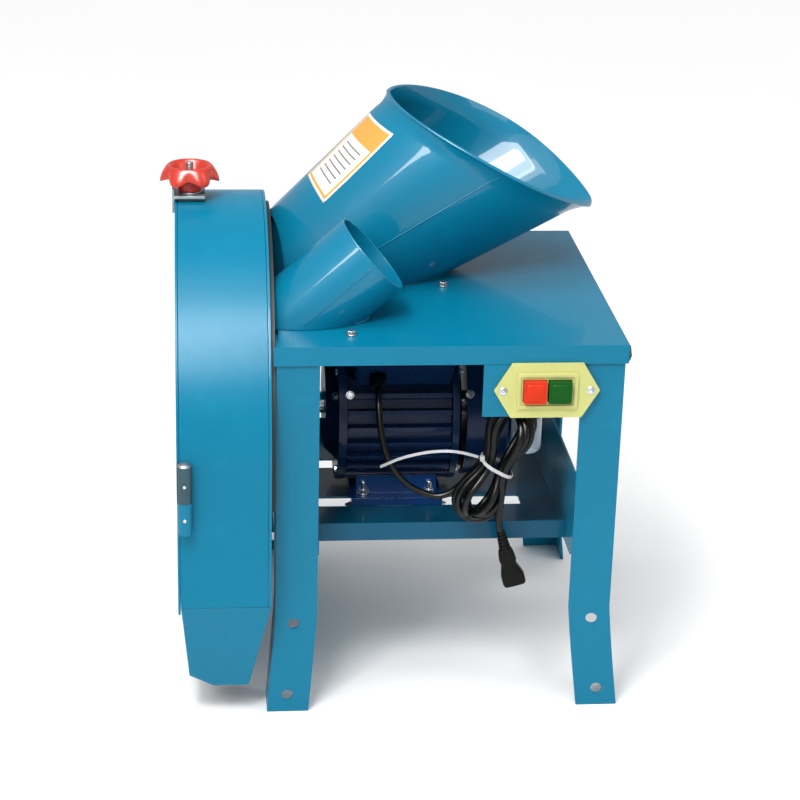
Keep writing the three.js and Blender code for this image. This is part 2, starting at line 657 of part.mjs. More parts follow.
// Swinging beater, hanging straight down from its pin.
function hammer(i) {
  const [y, z] = pinPlace(i);
  const bar = prism(rounded(y - 14, y + 14, z - 60, z + 14, 4), 'yz', -50, -42, 3);
  return bar.subtract(cylinder('x', ROTOR.pinRadius + FIT, -60, -30, y, z, FINE));
}

function rotorNut() {
  return tube('x', 19, MOTOR.shaft + SEAT, -79, -64.3, AXIS.y, AXIS.z, 24)
    .intersect(cylinder('x', 19, -80, -60, AXIS.y, AXIS.z, 6));
}

function ledgerKnife() {
  const x = DRUM.right - GAP;
  return box(x - 8, x, 196, 330, TABLE.top - 10, TABLE.top + 2);
}

// ---------------------------------------------------------------- switch
function hexagonPlate() {
  const { x, z, halfWidth: w, halfHeight: h, halfFlat: flat } = SWITCH;
  return polygon([
    [x - w, z], [x - flat, z - h], [x + flat, z - h], [x + w, z], [x + flat, z + h], [x - flat, z + h],
  ]);
}

const BUTTON = { half: 11.8, hole: 12.3, spacing: 25.6, front: -11, back: 12 };
const BUTTON_X = [SWITCH.x - BUTTON.spacing / 2, SWITCH.x + BUTTON.spacing / 2];
const buttonHole = (bx, y0, y1) => (
  box(bx - BUTTON.hole, bx + BUTTON.hole, y0, y1, SWITCH.z - BUTTON.hole, SWITCH.z + BUTTON.hole)
);

function switchPlate() {
  const { x, z } = SWITCH;
  let solid = prism(hexagonPlate(), 'xz', -3.4, -GAP);
  solid = solid.add(prism(rounded(x - 31, x + 31, z - 19, z + 19, 3), 'xz', -6, -1, 3));
  solid = solid.subtract(prism(rounded(x - 27.5, x + 27.5, z - 15.5, z + 15.5, 2), 'xz', -8, -4.5, 3));
  for (const bx of BUTTON_X) {
    solid = solid.subtract(buttonHole(bx, -9, 5));
  }
  for (const side of [-1, 1]) {
    solid = solid.subtract(cylinder('y', 2.4, -9, 5, x + side * SWITCH.screwOffset, z, 12));
  }
  return solid;
}

function pushButton(index) {
  const { z } = SWITCH;
  const x = BUTTON_X[index];
  const { half, front, back } = BUTTON;
  return prism(rounded(x - half, x + half, z - half, z + half, 2), 'xz', front, back, 3);
}

function switchBracket() {
  const { x, z } = SWITCH;
  const plate = box(212, 312, GAP, SHEET, 337, TABLE.top - TABLE.lip - GAP);
  const window = box(x - 31, x + 31, -5, 8, z - 21, z + 21);
  const screwHole = cylinder('y', 2.4, -5, 8, x - SWITCH.screwOffset, z, 12);
  return plate.subtract(window).subtract(screwHole);
}

function switchBody() {
  const { x, z } = SWITCH;
  const outer = prism(rounded(x - 30, x + 30, z - 20, z + 20, 4), 'xz', GAP, 46, 3);
  let solid = outer;
  for (const bx of BUTTON_X) solid = solid.subtract(buttonHole(bx, -2, 20));
  return solid;
}

// ---------------------------------------------------------------- leads
const LEAD_ROUTE = [
  [114, 96.8, 331.5], [114, 92.5, 328.6], [113.6, 84.5, 319], [114.6, 77, 302],
  [117.6, 71, 283], [122.6, 66, 266],
  [131, 60, 251], [145, 54, 238], [160, 50.5, 231], [174, 48.5, 228], [187, 47, 232], [202, 46.5, 245.5],
  [217, 46.3, 265], [228, 46.3, 284.5], [237.5, 46, 305.5], [246, 44.5, 327], [250.8, 41.5, 345.7],
];

// The mains cord's bundle, drawn in its own upright plane and then leaned to the right.
const HANK = {
  x: 231.5, y: 20, z: 276, lean: 0.36,
  halfWidth: 27, waist: 17, halfHeight: 61, halfDepth: 19,
};
const leanedHank = (solid) => turned(solid, Y_AXIS, HANK.lean, new THREE.Vector3(HANK.x, HANK.y, HANK.z));

function cordHank() {
  const { x, y, z, halfWidth, waist, halfHeight, halfDepth } = HANK;
  const end = halfHeight - halfWidth;
  const shape = new THREE.Shape();
  shape.moveTo(x + waist, z);
  shape.bezierCurveTo(x + waist, z + 16, x + halfWidth, z + 12, x + halfWidth, z + end);
  shape.absarc(x, z + end, halfWidth, 0, Math.PI, false);
  shape.bezierCurveTo(x - halfWidth, z + 12, x - waist, z + 16, x - waist, z);
  shape.bezierCurveTo(x - waist, z - 16, x - halfWidth, z - 12, x - halfWidth, z - end);
  shape.absarc(x, z - end, halfWidth, Math.PI, 2 * Math.PI, false);
  shape.bezierCurveTo(x + halfWidth, z - 12, x + waist, z - 16, x + waist, z);
  return leanedHank(prism(shape, 'xz', y - halfDepth, y + halfDepth, 7));
}

function cableTie() {
  const { x, y, z, waist, halfDepth } = HANK;
  const w = waist + 4 * GAP;
  const d = halfDepth + GAP;
  const outline = rounded(x - w - 1.6, x + w + 1.6, y - d - 1.6, y + d + 1.6, 5);
  const outer = prism(outline, 'xy', z - 2.4, z + 2.4, 4);
  const inner = prism(rounded(x - w, x + w, y - d, y + d, 0.6), 'xy', z - 4, z + 4, 4);
  const head = box(x - w - 7, x - w - 1, y - 4, y + 4, z - 4, z + 4);
  return leanedHank(outer.subtract(inner).add(head));
}

const TAIL_ROUTE = [[234.3, 7.5, 218.4], [235.1, 8, 214], [236.4, 9, 208.6], [237.6, 10, 204.9]];
const PLUG = { x: 238, y: 10, top: 203.7, tilt: 0.265, relief: 24, length: 64 };

function plugBody() {
  const { x, y, top, tilt, relief, length } = PLUG;
  const neck = top - relief;
  const low = top - length;
  const shoulder = neck - 14;
  const outline = polygon([
    [x - 8, neck], [x + 8, neck], [x + 13, shoulder], [x + 13, low], [x - 11, low], [x - 11, shoulder],
  ]);
  const sleeve = cylinder('z', 6.6, neck - 1, top, x, y, 12, 4.4);
  const body = prism(outline, 'xz', y - 7.5, y + 7.5).add(sleeve);
  return turned(body, Y_AXIS, -tilt, new THREE.Vector3(x, y, top));
}

// ---------------------------------------------------------------- assembly
let table = tableTop();
for (const [x, y] of TABLE_BOLTS) table = table.subtract(cylinder('z', 4.2, 400, 430, x, y, 12));
add('table_top', table, BLUE);
let frontRight = leg(1, -1);
frontRight = frontRight.subtract(cylinder('y', 2.4, -5, 12, SWITCH.x + SWITCH.screwOffset, SWITCH.z, 12));
add('leg_front_left', leg(-1, -1), BLUE);
add('leg_front_right', frontRight, BLUE);
add('leg_rear_left', leg(-1, 1), BLUE);
add('leg_rear_right', leg(1, 1), BLUE);
add('motor_tray', motorTray(), BLUE);
add('tray_side_plate', traySidePlate(), BLUE);

add('housing_band', housingBand(), BLUE);
add('housing_back_plate', housingBackPlate(), BLUE);
add('stand_gasket', standGasket(), BLACK);
add('discharge_spout', dischargeSpout(), BLUE);
add('screen', screen(), TOOL_STEEL);
add('ledger_knife', ledgerKnife(), TOOL_STEEL);

add('door_plate', doorPlate(), BLUE);
add('door_seal', doorSeal(), BLACK);
add('door_knuckle', doorKnuckle(), STEEL);
add('door_bracket', doorBracket(), STEEL);
add('housing_knuckle', housingKnuckle(), BLUE);
add('clamp_pad', clampPad(), BLACK);
add('clamp_stud', clampStud(), STEEL);
add('clamp_washer', clampWasher(), STEEL);
add('star_knob', starKnob(), RED);

add('main_chute', mainChute(), BLUE);
add('feed_throat', feedThroat(), BLACK);
add('grain_tube', grainTube(), BLUE);

add('motor_frame', motorFrame(), NAVY);
add('motor_stator', motorStator(), TOOL_STEEL);
add('motor_end_bell_drive', endBell(62, 83.4, 74, 83.4), NAVY);
add('motor_end_bell_rear', endBell(196.6, 210, 196.6, 204), NAVY);
add('bearing_drive', bearing(62.5, 76), STEEL);
add('bearing_rear', bearing(198, 209.5), STEEL);
add('fan_cowl', fanCowl(), NAVY);
add('cooling_fan', coolingFan(), BLACK);
add('motor_foot', motorFoot(), NAVY);
add('junction_box', junctionBox(), NAVY);
add('junction_box_lid', junctionBoxLid(), NAVY);
add('cable_gland', cableGland(), BLACK);

add('motor_shaft', motorShaft(), STEEL);
add('rotor_disc', rotorDisc(), TOOL_STEEL);
add('rotor_end_plate', rotorEndPlate(), TOOL_STEEL);
add('rotor_nut', rotorNut(), STEEL);
for (let i = 0; i < ROTOR.count; i += 1) {
  add(`knife_${i + 1}`, knife(i), STEEL);
  add(`hammer_pin_${i + 1}`, hammerPin(i), STEEL);
  add(`hammer_${i + 1}`, hammer(i), TOOL_STEEL);
}

add('switch_bracket', switchBracket(), BLUE);
add('switch_plate', switchPlate(), CREAM);
add('switch_body', switchBody(), BLACK);
add('button_stop', pushButton(0), RED);
add('button_start', pushButton(1), GREEN);
add('motor_lead', sweep(LEAD_ROUTE, CORD.radius, CORD.sides, 40), BLACK);
add('power_cord_hank', cordHank(), BLACK);
add('power_cord_tail', sweep(TAIL_ROUTE, CORD.radius, CORD.sides, 3), BLACK);
add('cable_tie', cableTie(), NYLON);
add('plug_body', plugBody(), BLACK);

// The origin sits under the middle of the machine, at floor level; the loose cord is not counted.
const LOOSE = ['power_cord_hank', 'power_cord_tail', 'cable_tie', 'plug_body'];
const bounds = new THREE.Box3();
for (const mesh of group.children) {
  mesh.geometry.computeBoundingBox();
  if (!LOOSE.includes(mesh.name)) bounds.union(mesh.geometry.boundingBox);
}
const middle = bounds.getCenter(new THREE.Vector3());
for (const mesh of group.children) mesh.geometry.translate(-middle.x, -middle.y, -bounds.min.z);

export default group;
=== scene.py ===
"""Feed cutter and mill: finishes, small parts, cords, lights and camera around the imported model.

Lengths below are in millimetres in working coordinates: X from the table's left edge to the right,
Y from the table's front edge to the rear, Z up from the floor. at() turns them into the frame's metres.
"""
import math

import bmesh
import bpy
from mathutils import Matrix, Vector


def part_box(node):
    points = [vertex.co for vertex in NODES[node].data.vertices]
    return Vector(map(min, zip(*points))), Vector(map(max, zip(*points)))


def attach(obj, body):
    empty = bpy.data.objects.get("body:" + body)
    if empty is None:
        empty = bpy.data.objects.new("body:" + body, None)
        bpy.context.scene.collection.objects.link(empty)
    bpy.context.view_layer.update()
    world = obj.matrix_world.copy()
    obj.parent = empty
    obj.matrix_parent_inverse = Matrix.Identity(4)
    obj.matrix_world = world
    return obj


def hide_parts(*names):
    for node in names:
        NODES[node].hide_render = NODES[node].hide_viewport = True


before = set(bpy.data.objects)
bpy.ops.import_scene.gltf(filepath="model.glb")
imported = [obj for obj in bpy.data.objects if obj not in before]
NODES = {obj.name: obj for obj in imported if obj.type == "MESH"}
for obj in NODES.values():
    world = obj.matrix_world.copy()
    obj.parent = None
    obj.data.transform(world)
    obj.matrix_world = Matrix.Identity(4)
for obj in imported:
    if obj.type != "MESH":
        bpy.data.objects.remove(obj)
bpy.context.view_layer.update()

MM = 0.001
REARWARD = Vector((0, 1, 0))
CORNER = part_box("table_top")[0]

AXIS_Y, AXIS_Z = 195, 278
TABLE_TOP = 414
TRAY_TOP = 181.5
KNOB_X = -82
SWITCH_X, SWITCH_Z = 277, 366.5


def at(x, y, z):
    """A point in working millimetres as a point of the frame, in metres."""
    return Vector((CORNER.x + x * MM, CORNER.y + y * MM, z * MM))


# ---- camera
FOCAL_PIXELS = 2200
FRAME_PIXELS = 800
YAW, PITCH, ROLL = 0.0995, 0.3761, 0.0269
EYE = (-77.8, -2057.7, 1173.3)


def make_camera():
    data = bpy.data.cameras.new("camera")
    data.sensor_width = 36
    data.lens = FOCAL_PIXELS / FRAME_PIXELS * data.sensor_width
    data.clip_start, data.clip_end = 0.05, 60
    camera = bpy.data.objects.new("camera", data)
    bpy.context.scene.collection.objects.link(camera)
    forward = Vector((math.sin(YAW) * math.cos(PITCH), math.cos(YAW) * math.cos(PITCH), -math.sin(PITCH)))
    level = Vector((math.cos(YAW), -math.sin(YAW), 0))
    upright = level.cross(forward)
    right = math.cos(ROLL) * level + math.sin(ROLL) * upright
    up = math.cos(ROLL) * upright - math.sin(ROLL) * level
    camera.matrix_world = Matrix.Translation(at(*EYE)) @ Matrix((right, up, -forward)).transposed().to_4x4()
    bpy.context.scene.camera = camera


make_camera()


# ---- materials
class Nodes:
    """A short way to add shader nodes and link them."""

    def __init__(self, name):
        self.material = bpy.data.materials.new(name)
        self.material.use_nodes = True
        self.tree = self.material.node_tree
        self.shader = self.tree.nodes["Principled BSDF"]
        self.coordinates = self.tree.nodes.new("ShaderNodeTexCoord").outputs["Object"]

    def add(self, kind, links=(), **values):
        node = self.tree.nodes.new(kind)
        for key, value in values.items():
            if hasattr(node, key):
                setattr(node, key, value)
            else:
                node.inputs[key.replace("_", " ")].default_value = value
        for socket, source in links:
            self.tree.links.new(source, node.inputs[socket])
        return node

    def link(self, source, socket):
        self.tree.links.new(source, self.shader.inputs[socket])

    def set(self, socket, value):
        self.shader.inputs[socket].default_value = value

    def colour(self, value):
        node = self.add("ShaderNodeRGB")
        node.outputs[0].default_value = value
        return node.outputs[0]

    def noise(self, scale, detail=4.0, stretch=None):
        vector = self.coordinates
        if stretch:
            mapping = self.add("ShaderNodeMapping", [("Vector", self.coordinates)])
            mapping.inputs["Scale"].default_value = stretch
            vector = mapping.outputs["Vector"]
        node = self.add("ShaderNodeTexNoise", [("Vector", vector)], Scale=scale, Detail=detail)
        return node.outputs["Fac"]

    def ramp(self, source, stops):
        node = self.add("ShaderNodeValToRGB", [("Fac", source)])
        elements = node.color_ramp.elements
        while len(elements) < len(stops):
            elements.new(0.5)
        for element, (place, colour) in zip(elements, stops):
            element.position = place
            element.color = colour
        return node.outputs["Color"]

    def span(self, source, low, high):
        node = self.add("ShaderNodeMapRange", [("Value", source)], To_Min=low, To_Max=high)
        return node.outputs["Result"]

    def mix(self, factor, first, second):
        node = self.add("ShaderNodeMix", data_type="RGBA")
        self.tree.links.new(factor, node.inputs[0])
        self.tree.links.new(first, node.inputs[6])
        self.tree.links.new(second, node.inputs[7])
        return node.outputs[2]

    def bump(self, height, strength, distance, before=None):
        links = [("Height", height)] + ([("Normal", before)] if before else [])
        node = self.add("ShaderNodeBump", links, Strength=strength, Distance=distance)
        return node.outputs["Normal"]


def linear(red, green, blue):
    """A colour given from 0 to 255 in sRGB, as linear values."""
    def channel(value):
        value /= 255
        return value / 12.92 if value <= 0.04045 else ((value + 0.055) / 1.055) ** 2.4
    return (channel(red), channel(green), channel(blue), 1.0)


def scaled(colour, factor):
    return tuple(min(1.0, channel * factor) for channel in colour[:3]) + (1.0,)


def varied(name, colour, roughness, spread=0.12, metallic=0.0, patch=9.0, grain=900.0, depth=0.00002,
           rough_spread=0.08, coat=0.0, stretch=None, specular=0.5):
    """A finish with patchy colour, patchy roughness and a fine bump."""
    nodes = Nodes(name)
    large = nodes.noise(patch, 5.0)
    tones = [(0.25, scaled(colour, 1 - spread)), (0.75, scaled(colour, 1 + spread))]
    nodes.link(nodes.ramp(large, tones), "Base Color")
    wear = nodes.noise(patch * 7, 6.0, stretch)
    nodes.link(nodes.span(wear, roughness - rough_spread, roughness + rough_spread), "Roughness")
    fine = nodes.noise(grain, 3.0, stretch)
    nodes.link(nodes.bump(fine, 0.35, depth), "Normal")
    nodes.set("Metallic", metallic)
    nodes.set("Specular IOR Level", specular)
    nodes.set("Coat Weight", coat)
    nodes.set("Coat Roughness", 0.06)
    return nodes


def sheet_paint(name, colour, coat, spread=0.06, peel=0.16, coat_roughness=0.05):
    """Sprayed gloss paint: long soft waves, orange peel, and dust in faint patches."""
    nodes = Nodes(name)
    tone = nodes.noise(4.0, 3.0)
    base = nodes.ramp(tone, [(0.3, scaled(colour, 1 - spread)), (0.7, scaled(colour, 1 + spread))])
    dust = nodes.ramp(nodes.noise(38.0, 8.0), [(0.58, (0, 0, 0, 1)), (0.8, (0.16, 0.16, 0.16, 1))])
    nodes.link(nodes.mix(dust, base, nodes.colour(scaled(colour, 1.7))), "Base Color")
    nodes.link(nodes.span(nodes.noise(60.0, 6.0), 0.26, 0.4), "Roughness")
    wave = nodes.bump(nodes.noise(26.0, 2.0), 0.25, 0.0006)
    nodes.link(nodes.bump(nodes.noise(420.0, 2.0), peel, 0.00006, wave), "Normal")
    nodes.set("Specular IOR Level", 0.1)
    nodes.set("Coat Weight", coat)
    nodes.set("Coat Roughness", coat_roughness)
    return nodes


def turned_steel(name, colour, roughness):
    """Machined steel with lathe marks around the rotor's axis and faint rust freckles."""
    nodes = varied(name, colour, roughness, 0.15, 1.0, 14, 1600, 0.00001, stretch=(12, 1, 1))
    freckles = nodes.ramp(nodes.noise(210.0, 9.0), [(0.62, (0, 0, 0, 1)), (0.74, (0.5, 0.5, 0.5, 1))])
    rust = nodes.colour(linear(112, 74, 48))
    plain = nodes.shader.inputs["Base Color"].links[0].from_socket
    nodes.link(nodes.mix(freckles, plain, rust), "Base Color")
    return nodes


def label_print():
    """Text-free sticker: white paper, an orange border band and a block of orange at the upper end."""
    nodes = Nodes("sticker_paper")
    place = nodes.tree.nodes.new("ShaderNodeUVMap").outputs["UV"]
    split = nodes.add("ShaderNodeSeparateXYZ", [("Vector", place)])

    def compare(socket, edge, operation):
        node = nodes.add("ShaderNodeMath", [(0, socket)], operation=operation)
        node.inputs[1].default_value = edge
        return node.outputs[0]

    def both(first, second):
        return nodes.add("ShaderNodeMath", [(0, first), (1, second)], operation="MULTIPLY").outputs[0]

    def either(first, second):
        return nodes.add("ShaderNodeMath", [(0, first), (1, second)], operation="MAXIMUM").outputs[0]

    def between(axis, low, high):
        socket = split.outputs[axis]
        return both(compare(socket, low, "GREATER_THAN"), compare(socket, high, "LESS_THAN"))

    def window(x0, x1, y0, y1):
        return both(between("X", x0, x1), between("Y", y0, y1))

    orange = nodes.colour(linear(226, 148, 62))
    pale = nodes.colour(linear(238, 236, 226))
    grey = nodes.colour(linear(120, 120, 118))
    edges = [(0, window(0.04, 0.96, 0.03, 0.97)), (1, window(0.09, 0.91, 0.06, 0.94))]
    frame_band = nodes.add("ShaderNodeMath", edges, operation="SUBTRACT").outputs[0]
    block = window(0.09, 0.91, 0.7, 0.94)
    bars = nodes.add("ShaderNodeTexWave", [("Vector", place)], Scale=4.4, bands_direction="Y")
    ruled = both(compare(bars.outputs["Fac"], 0.8, "GREATER_THAN"), window(0.2, 0.8, 0.13, 0.63))
    ground = nodes.mix(either(frame_band, block), pale, orange)
    nodes.link(nodes.mix(ruled, ground, grey), "Base Color")
    nodes.link(nodes.span(nodes.noise(160.0), 0.3, 0.45), "Roughness")
    nodes.link(nodes.bump(nodes.noise(700.0), 0.2, 0.00002), "Normal")
    return nodes


TEAL = linear(2, 109, 140)
# SHADED_TEAL is teal darkened as painted shade, for the motor tray under the table and the feed throat in the
# dark gap beside the drum.
SHADED_TEAL = linear(2, 76, 104)
BRIGHT_NAVY = linear(14, 62, 122)
# varied() takes a name and a colour, then: roughness, colour spread, metallic, patch and grain frequency,
# bump depth, roughness spread and coat.
FINISHES = {
    "teal": sheet_paint("teal_paint", TEAL, 0.2),
    "drum_teal": sheet_paint("teal_drum_paint", TEAL, 0.07, coat_roughness=0.28),
    "gloss_teal": sheet_paint("teal_gloss_paint", TEAL, 0.5, peel=1),
    "painted_shade_teal": sheet_paint("teal_painted_shade", SHADED_TEAL, 0.2),
    "cast_navy": varied("navy_cast_foot", BRIGHT_NAVY, 0.25, 0.2, 0.0, 14, 500, 0.00006, 0.1, 0.6,
                        specular=0.4),
    "navy": varied("navy_enamel", linear(6, 32, 66), 0.3, 0.25, 0.0, 12, 700, 0.00003, 0.1, 0.12,
                   specular=0.15),
    "zinc": varied("zinc_plate", linear(196, 200, 204), 0.28, 0.12, 1.0, 30, 1500, 0.00001, 0.1),
    "bracket": varied("grey_bracket_paint", linear(136, 152, 156), 0.4, 0.12, 0.3, 40, 700, 0.00003, 0.1),
    "hinge_sleeve": varied("dark_hinge_paint", linear(34, 68, 78), 0.34, 0.12, 0.2, 40, 700, 0.00003, 0.1),
    "worn_zinc": varied("worn_zinc", linear(150, 154, 158), 0.38, 0.2, 1.0, 60, 900, 0.00002, 0.12),
    "tool": turned_steel("tool_steel", linear(122, 126, 130), 0.34),
    "iron": varied("laminated_iron", linear(92, 92, 94), 0.5, 0.15, 0.8, 40, 1200, 0.00003,
                   stretch=(30, 1, 1)),
    "red": varied("red_knob_plastic", linear(180, 40, 20), 0.3, 0.08, 0.0, 22, 260, 0.00004, 0.08, 0.2),
    "red_button": varied("red_button_plastic", linear(196, 48, 20), 0.45, 0.05, 0.0, 60, 900, 0.00001, 0.05,
                         0.04, specular=0.1),
    "green": varied("green_button_plastic", linear(8, 76, 18), 0.45, 0.07, 0.0, 60, 900, 0.00001, 0.05, 0.04,
                    specular=0.1),
    "cream": varied("cream_plate_plastic", linear(184, 186, 114), 0.45, 0.04, 0.0, 30, 800, 0.00002, 0.06,
                    0.08, specular=0.3),
    "black": varied("black_moulding", linear(7, 7, 7), 0.42, 0.25, 0.0, 40, 900, 0.00004, 0.1, specular=0.12),
    "rubber": varied("black_rubber", linear(20, 22, 22), 0.62, 0.25, 0.0, 30, 600, 0.00006, 0.1),
    "jacket": varied("cord_jacket", linear(6, 7, 7), 0.3, 0.25, 0.0, 60, 500, 0.00005, 0.08, specular=0.24),
    "nylon": varied("nylon_tie", linear(176, 179, 180), 0.4, 0.06, 0.0, 50, 700, 0.00002, 0.06),
    "sticker": label_print(),
    "capacitor": varied("pale_can_plastic", linear(176, 192, 204), 0.35, 0.05, 0.0, 30, 700, 0.00002, 0.06),
    "contact": varied("brass_contact", linear(196, 168, 96), 0.3, 0.1, 1.0, 60, 1500, 0.00001, 0.08),
}
MATERIAL = {name: nodes.material for name, nodes in FINISHES.items()}
for translucent in ("nylon", "capacitor"):
    FINISHES[translucent].set("Subsurface Weight", 0.25)
    FINISHES[translucent].set("Subsurface Scale", 0.004)


# ---- mesh helpers
def place(piece, body, material, slot):
    bpy.context.scene.collection.objects.link(piece)
    piece.data.materials.append(MATERIAL[material])
    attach(piece, body)
    return piece


def mesh_piece(name, vertices, faces, body, material, slot, smooth=True):
    mesh = bpy.data.meshes.new(name)
    mesh.from_pydata([tuple(v) for v in vertices], [], faces)
    build = bmesh.new()
    build.from_mesh(mesh)
    bmesh.ops.remove_doubles(build, verts=build.verts, dist=1e-6)
    bmesh.ops.recalc_face_normals(build, faces=build.faces)
    build.to_mesh(mesh)
    build.free()
    mesh.polygons.foreach_set("use_smooth", [smooth] * len(mesh.polygons))
    return place(bpy.data.objects.new(name, mesh), body, material, slot)


def smooth_object(name, build):
    """An object made from a bmesh and shaded smooth."""
    mesh = bpy.data.meshes.new(name)
    build.to_mesh(mesh)
    build.free()
    mesh.polygons.foreach_set("use_smooth", [True] * len(mesh.polygons))
    return bpy.data.objects.new(name, mesh)


def bulged(value, power):
    """Value's size to a power, its sign kept; it squares off a circle."""
    return math.copysign(abs(value) ** power, value)


def loft(name, rings, body, material, slot, joined=False):
    """Skins rings of points. joined closes the last ring to the first; otherwise both ends get a cap."""
    count = len(rings[0])
    vertices = [point for ring in rings for point in ring]
    faces = []
    last = len(rings) if joined else len(rings) - 1
    for r in range(last):
        a, b = r * count, (r + 1) % len(rings) * count
        for i in range(count):
            j = (i + 1) % count
            faces.append((a + i, a + j, b + j, b + i))
    if not joined:
        faces.append(tuple(range(count))[::-1])
        faces.append(tuple((len(rings) - 1) * count + i for i in range(count)))
    return mesh_piece(name, vertices, faces, body, material, slot)


def soften(piece, width, segments=2, angle=35):
    """Rounds the sharp edges a little and keeps the flat faces flat in the shading."""
    bevel = piece.modifiers.new("soft_edges", "BEVEL")
    bevel.width = width
    bevel.segments = segments
    bevel.limit_method = "ANGLE"
    bevel.angle_limit = math.radians(angle)
    bevel.miter_outer = "MITER_ARC"
    shading = piece.modifiers.new("face_shading", "WEIGHTED_NORMAL")
    shading.keep_sharp = True
    return piece


def circle(count):
    """Angles evenly spaced round a circle."""
    return [2 * math.pi * i / count for i in range(count)]


def rectangle(a, b):
    """Corners of a rectangle of these half sizes, in order."""
    return ((-a, -b), (a, -b), (a, b), (-a, b))


def frame_of(axis):
    """Two directions at right angles to axis, and axis itself."""
    axis = Vector(axis).normalized()
    helper = Vector((0, 0, 1)) if abs(axis.z) < 0.9 else Vector((1, 0, 0))
    side = helper.cross(axis).normalized()
    return side, axis.cross(side), axis


def lathe(name, centre, axis, profile, body, material, slot, segments=32, sides=None, joined=False):
    """Turns (radius, height) pairs round axis. sides makes the outline a polygon, for nuts and bolt heads;
    joined closes the profile on itself, for rings with a bore."""
    side, other, axis = frame_of(axis)
    rings = []
    for radius, height in profile:
        ring = []
        for angle in circle(sides or segments):
            offset = side * math.cos(angle) + other * math.sin(angle)
            ring.append(centre + (offset * radius + axis * height) * MM)
        rings.append(ring)
    return loft(name, rings, body, material, slot, joined=joined)


WASHER_HEIGHT = 1.6
THREAD_PITCH = 1.2


def bolt(name, centre, axis, size, body, material="zinc", washer=True, stub=0.0):
    """Hexagon head with a chamfer, on a flat washer; stub adds a threaded end standing out of a nut."""
    base = WASHER_HEIGHT if washer else 0.0
    if washer:
        profile = [(size * 0.98, 0), (size * 1.06, 0.3), (size * 1.06, base - 0.3), (size, base)]
        soften(lathe(name + "_washer", centre, axis, profile, body, material, "zinc_steel"), 0.0002)
    top = base + size * 0.62
    profile = [(size * 0.84, base), (size * 0.88, base + 0.4), (size * 0.88, top - 0.9), (size * 0.76, top)]
    soften(lathe(name + "_head", centre, axis, profile, body, material, "zinc_steel", sides=6), 0.00025)
    if stub:
        profile = [(size * 0.45, top)]
        turns = int(stub / THREAD_PITCH)
        for i in range(turns):
            low = top + 0.1 + i * THREAD_PITCH
            profile += [(size * 0.5, low + 0.3), (size * 0.43, low + 0.9)]
        profile.append((size * 0.38, top + 0.3 + turns * THREAD_PITCH))
        lathe(name + "_end", centre, axis, profile, body, material, "zinc_steel", 20)


def cross_screw(name, centre, axis, radius, body):
    """Pan-head screw with a cross recess."""
    side, other, axis = frame_of(axis)
    rows, count = 7, 32
    dome, lip, recess = 1.5, 0.5, 1.5
    arm, slot = radius * 0.62, radius * 0.17
    grid, faces = [], []
    for r in range(rows + 1):
        reach = radius * r / rows
        for angle in circle(count):
            a, b = reach * math.cos(angle), reach * math.sin(angle)
            in_cross = (abs(a) < slot and abs(b) < arm) or (abs(b) < slot and abs(a) < arm)
            height = dome * (1 - (reach / radius) ** 2) + lip - (recess if in_cross else 0)
            grid.append(centre + (side * a + other * b + axis * height) * MM)
    for r in range(rows):
        for i in range(count):
            j = (i + 1) % count
            faces.append((r * count + i, r * count + j, (r + 1) * count + j, (r + 1) * count + i))
    back = len(grid)
    for angle in circle(count):
        grid.append(centre + (side * math.cos(angle) + other * math.sin(angle)) * radius * MM)
    for i in range(count):
        j = (i + 1) % count
        faces.append((rows * count + i, rows * count + j, back + j, back + i))
    faces.append(tuple(back + i for i in range(count)))
    return mesh_piece(name, grid, faces, body, "zinc", "zinc_steel", smooth=False)


def curve_piece(name, points, radius, body, material, slot, resolution=4):
    """A round cord along points, as a curve of one open spline."""
    data = bpy.data.curves.new(name, "CURVE")
    data.dimensions = "3D"
    data.bevel_depth = radius * MM
    data.bevel_resolution = resolution
    data.use_fill_caps = True
    spline = data.splines.new("POLY")
    spline.points.add(len(points) - 1)
    for target, point in zip(spline.points, points):
        target.co = (*point, 1)
    spline.use_smooth = True
    return place(bpy.data.objects.new(name, data), body, material, slot)


def smooth_route(points, step=2.5, passes=0):
    """A centripetal Catmull-Rom line through points, resampled."""
    points = [Vector(p) for p in points]
    ends = [points[0] * 2 - points[1]] + points + [points[-1] * 2 - points[-2]]
    route = []
    for p0, p1, p2, p3 in zip(ends, ends[1:], ends[2:], ends[3:]):
        pieces = max(1, round((p2 - p1).length / step))
        t1 = (p1 - p0).length ** 0.5
        t2 = t1 + (p2 - p1).length ** 0.5
        t3 = t2 + (p3 - p2).length ** 0.5
        for i in range(pieces):
            t = t1 + (t2 - t1) * i / pieces
            a1 = p0 * ((t1 - t) / t1) + p1 * (t / t1)
            a2 = p1 * ((t2 - t) / (t2 - t1)) + p2 * ((t - t1) / (t2 - t1))
            a3 = p2 * ((t3 - t) / (t3 - t2)) + p3 * ((t - t2) / (t3 - t2))
            b1 = a1 * ((t2 - t) / t2) + a2 * (t / t2)
            b2 = a2 * ((t3 - t) / (t3 - t1)) + a3 * ((t - t1) / (t3 - t1))
            route.append(b1 * ((t2 - t) / (t2 - t1)) + b2 * ((t - t1) / (t2 - t1)))
    route.append(points[-1])
    for _ in range(passes):
        route[1:-1] = [(a + b * 2 + c) / 4 for a, b, c in zip(route, route[1:], route[2:])]
    return route


def directions(points, joined):
    """Each point with the line's direction there; joined closes the line on itself."""
    last = len(points) - 1
    for i, point in enumerate(points):
        before = points[i - 1] if i or joined else point
        after = points[(i + 1) % len(points)] if i < last or joined else point
        yield point, (after - before).normalized()


def strip_piece(name, points, normals, width, thickness, body, material, slot, joined=False):
    """A flat strap along points; normals face away from its broad side."""
    rings = []
    for (point, along), normal in zip(directions(points, joined), normals):
        across = along.cross(normal).normalized()
        out = across.cross(along).normalized()
        half, depth = across * width / 2, out * thickness / 2
        rings.append([point + half + depth, point - half + depth, point - half - depth, point + half - depth])
    piece = loft(name, rings, body, material, slot, joined=joined)
    return soften(piece, thickness * 0.2)


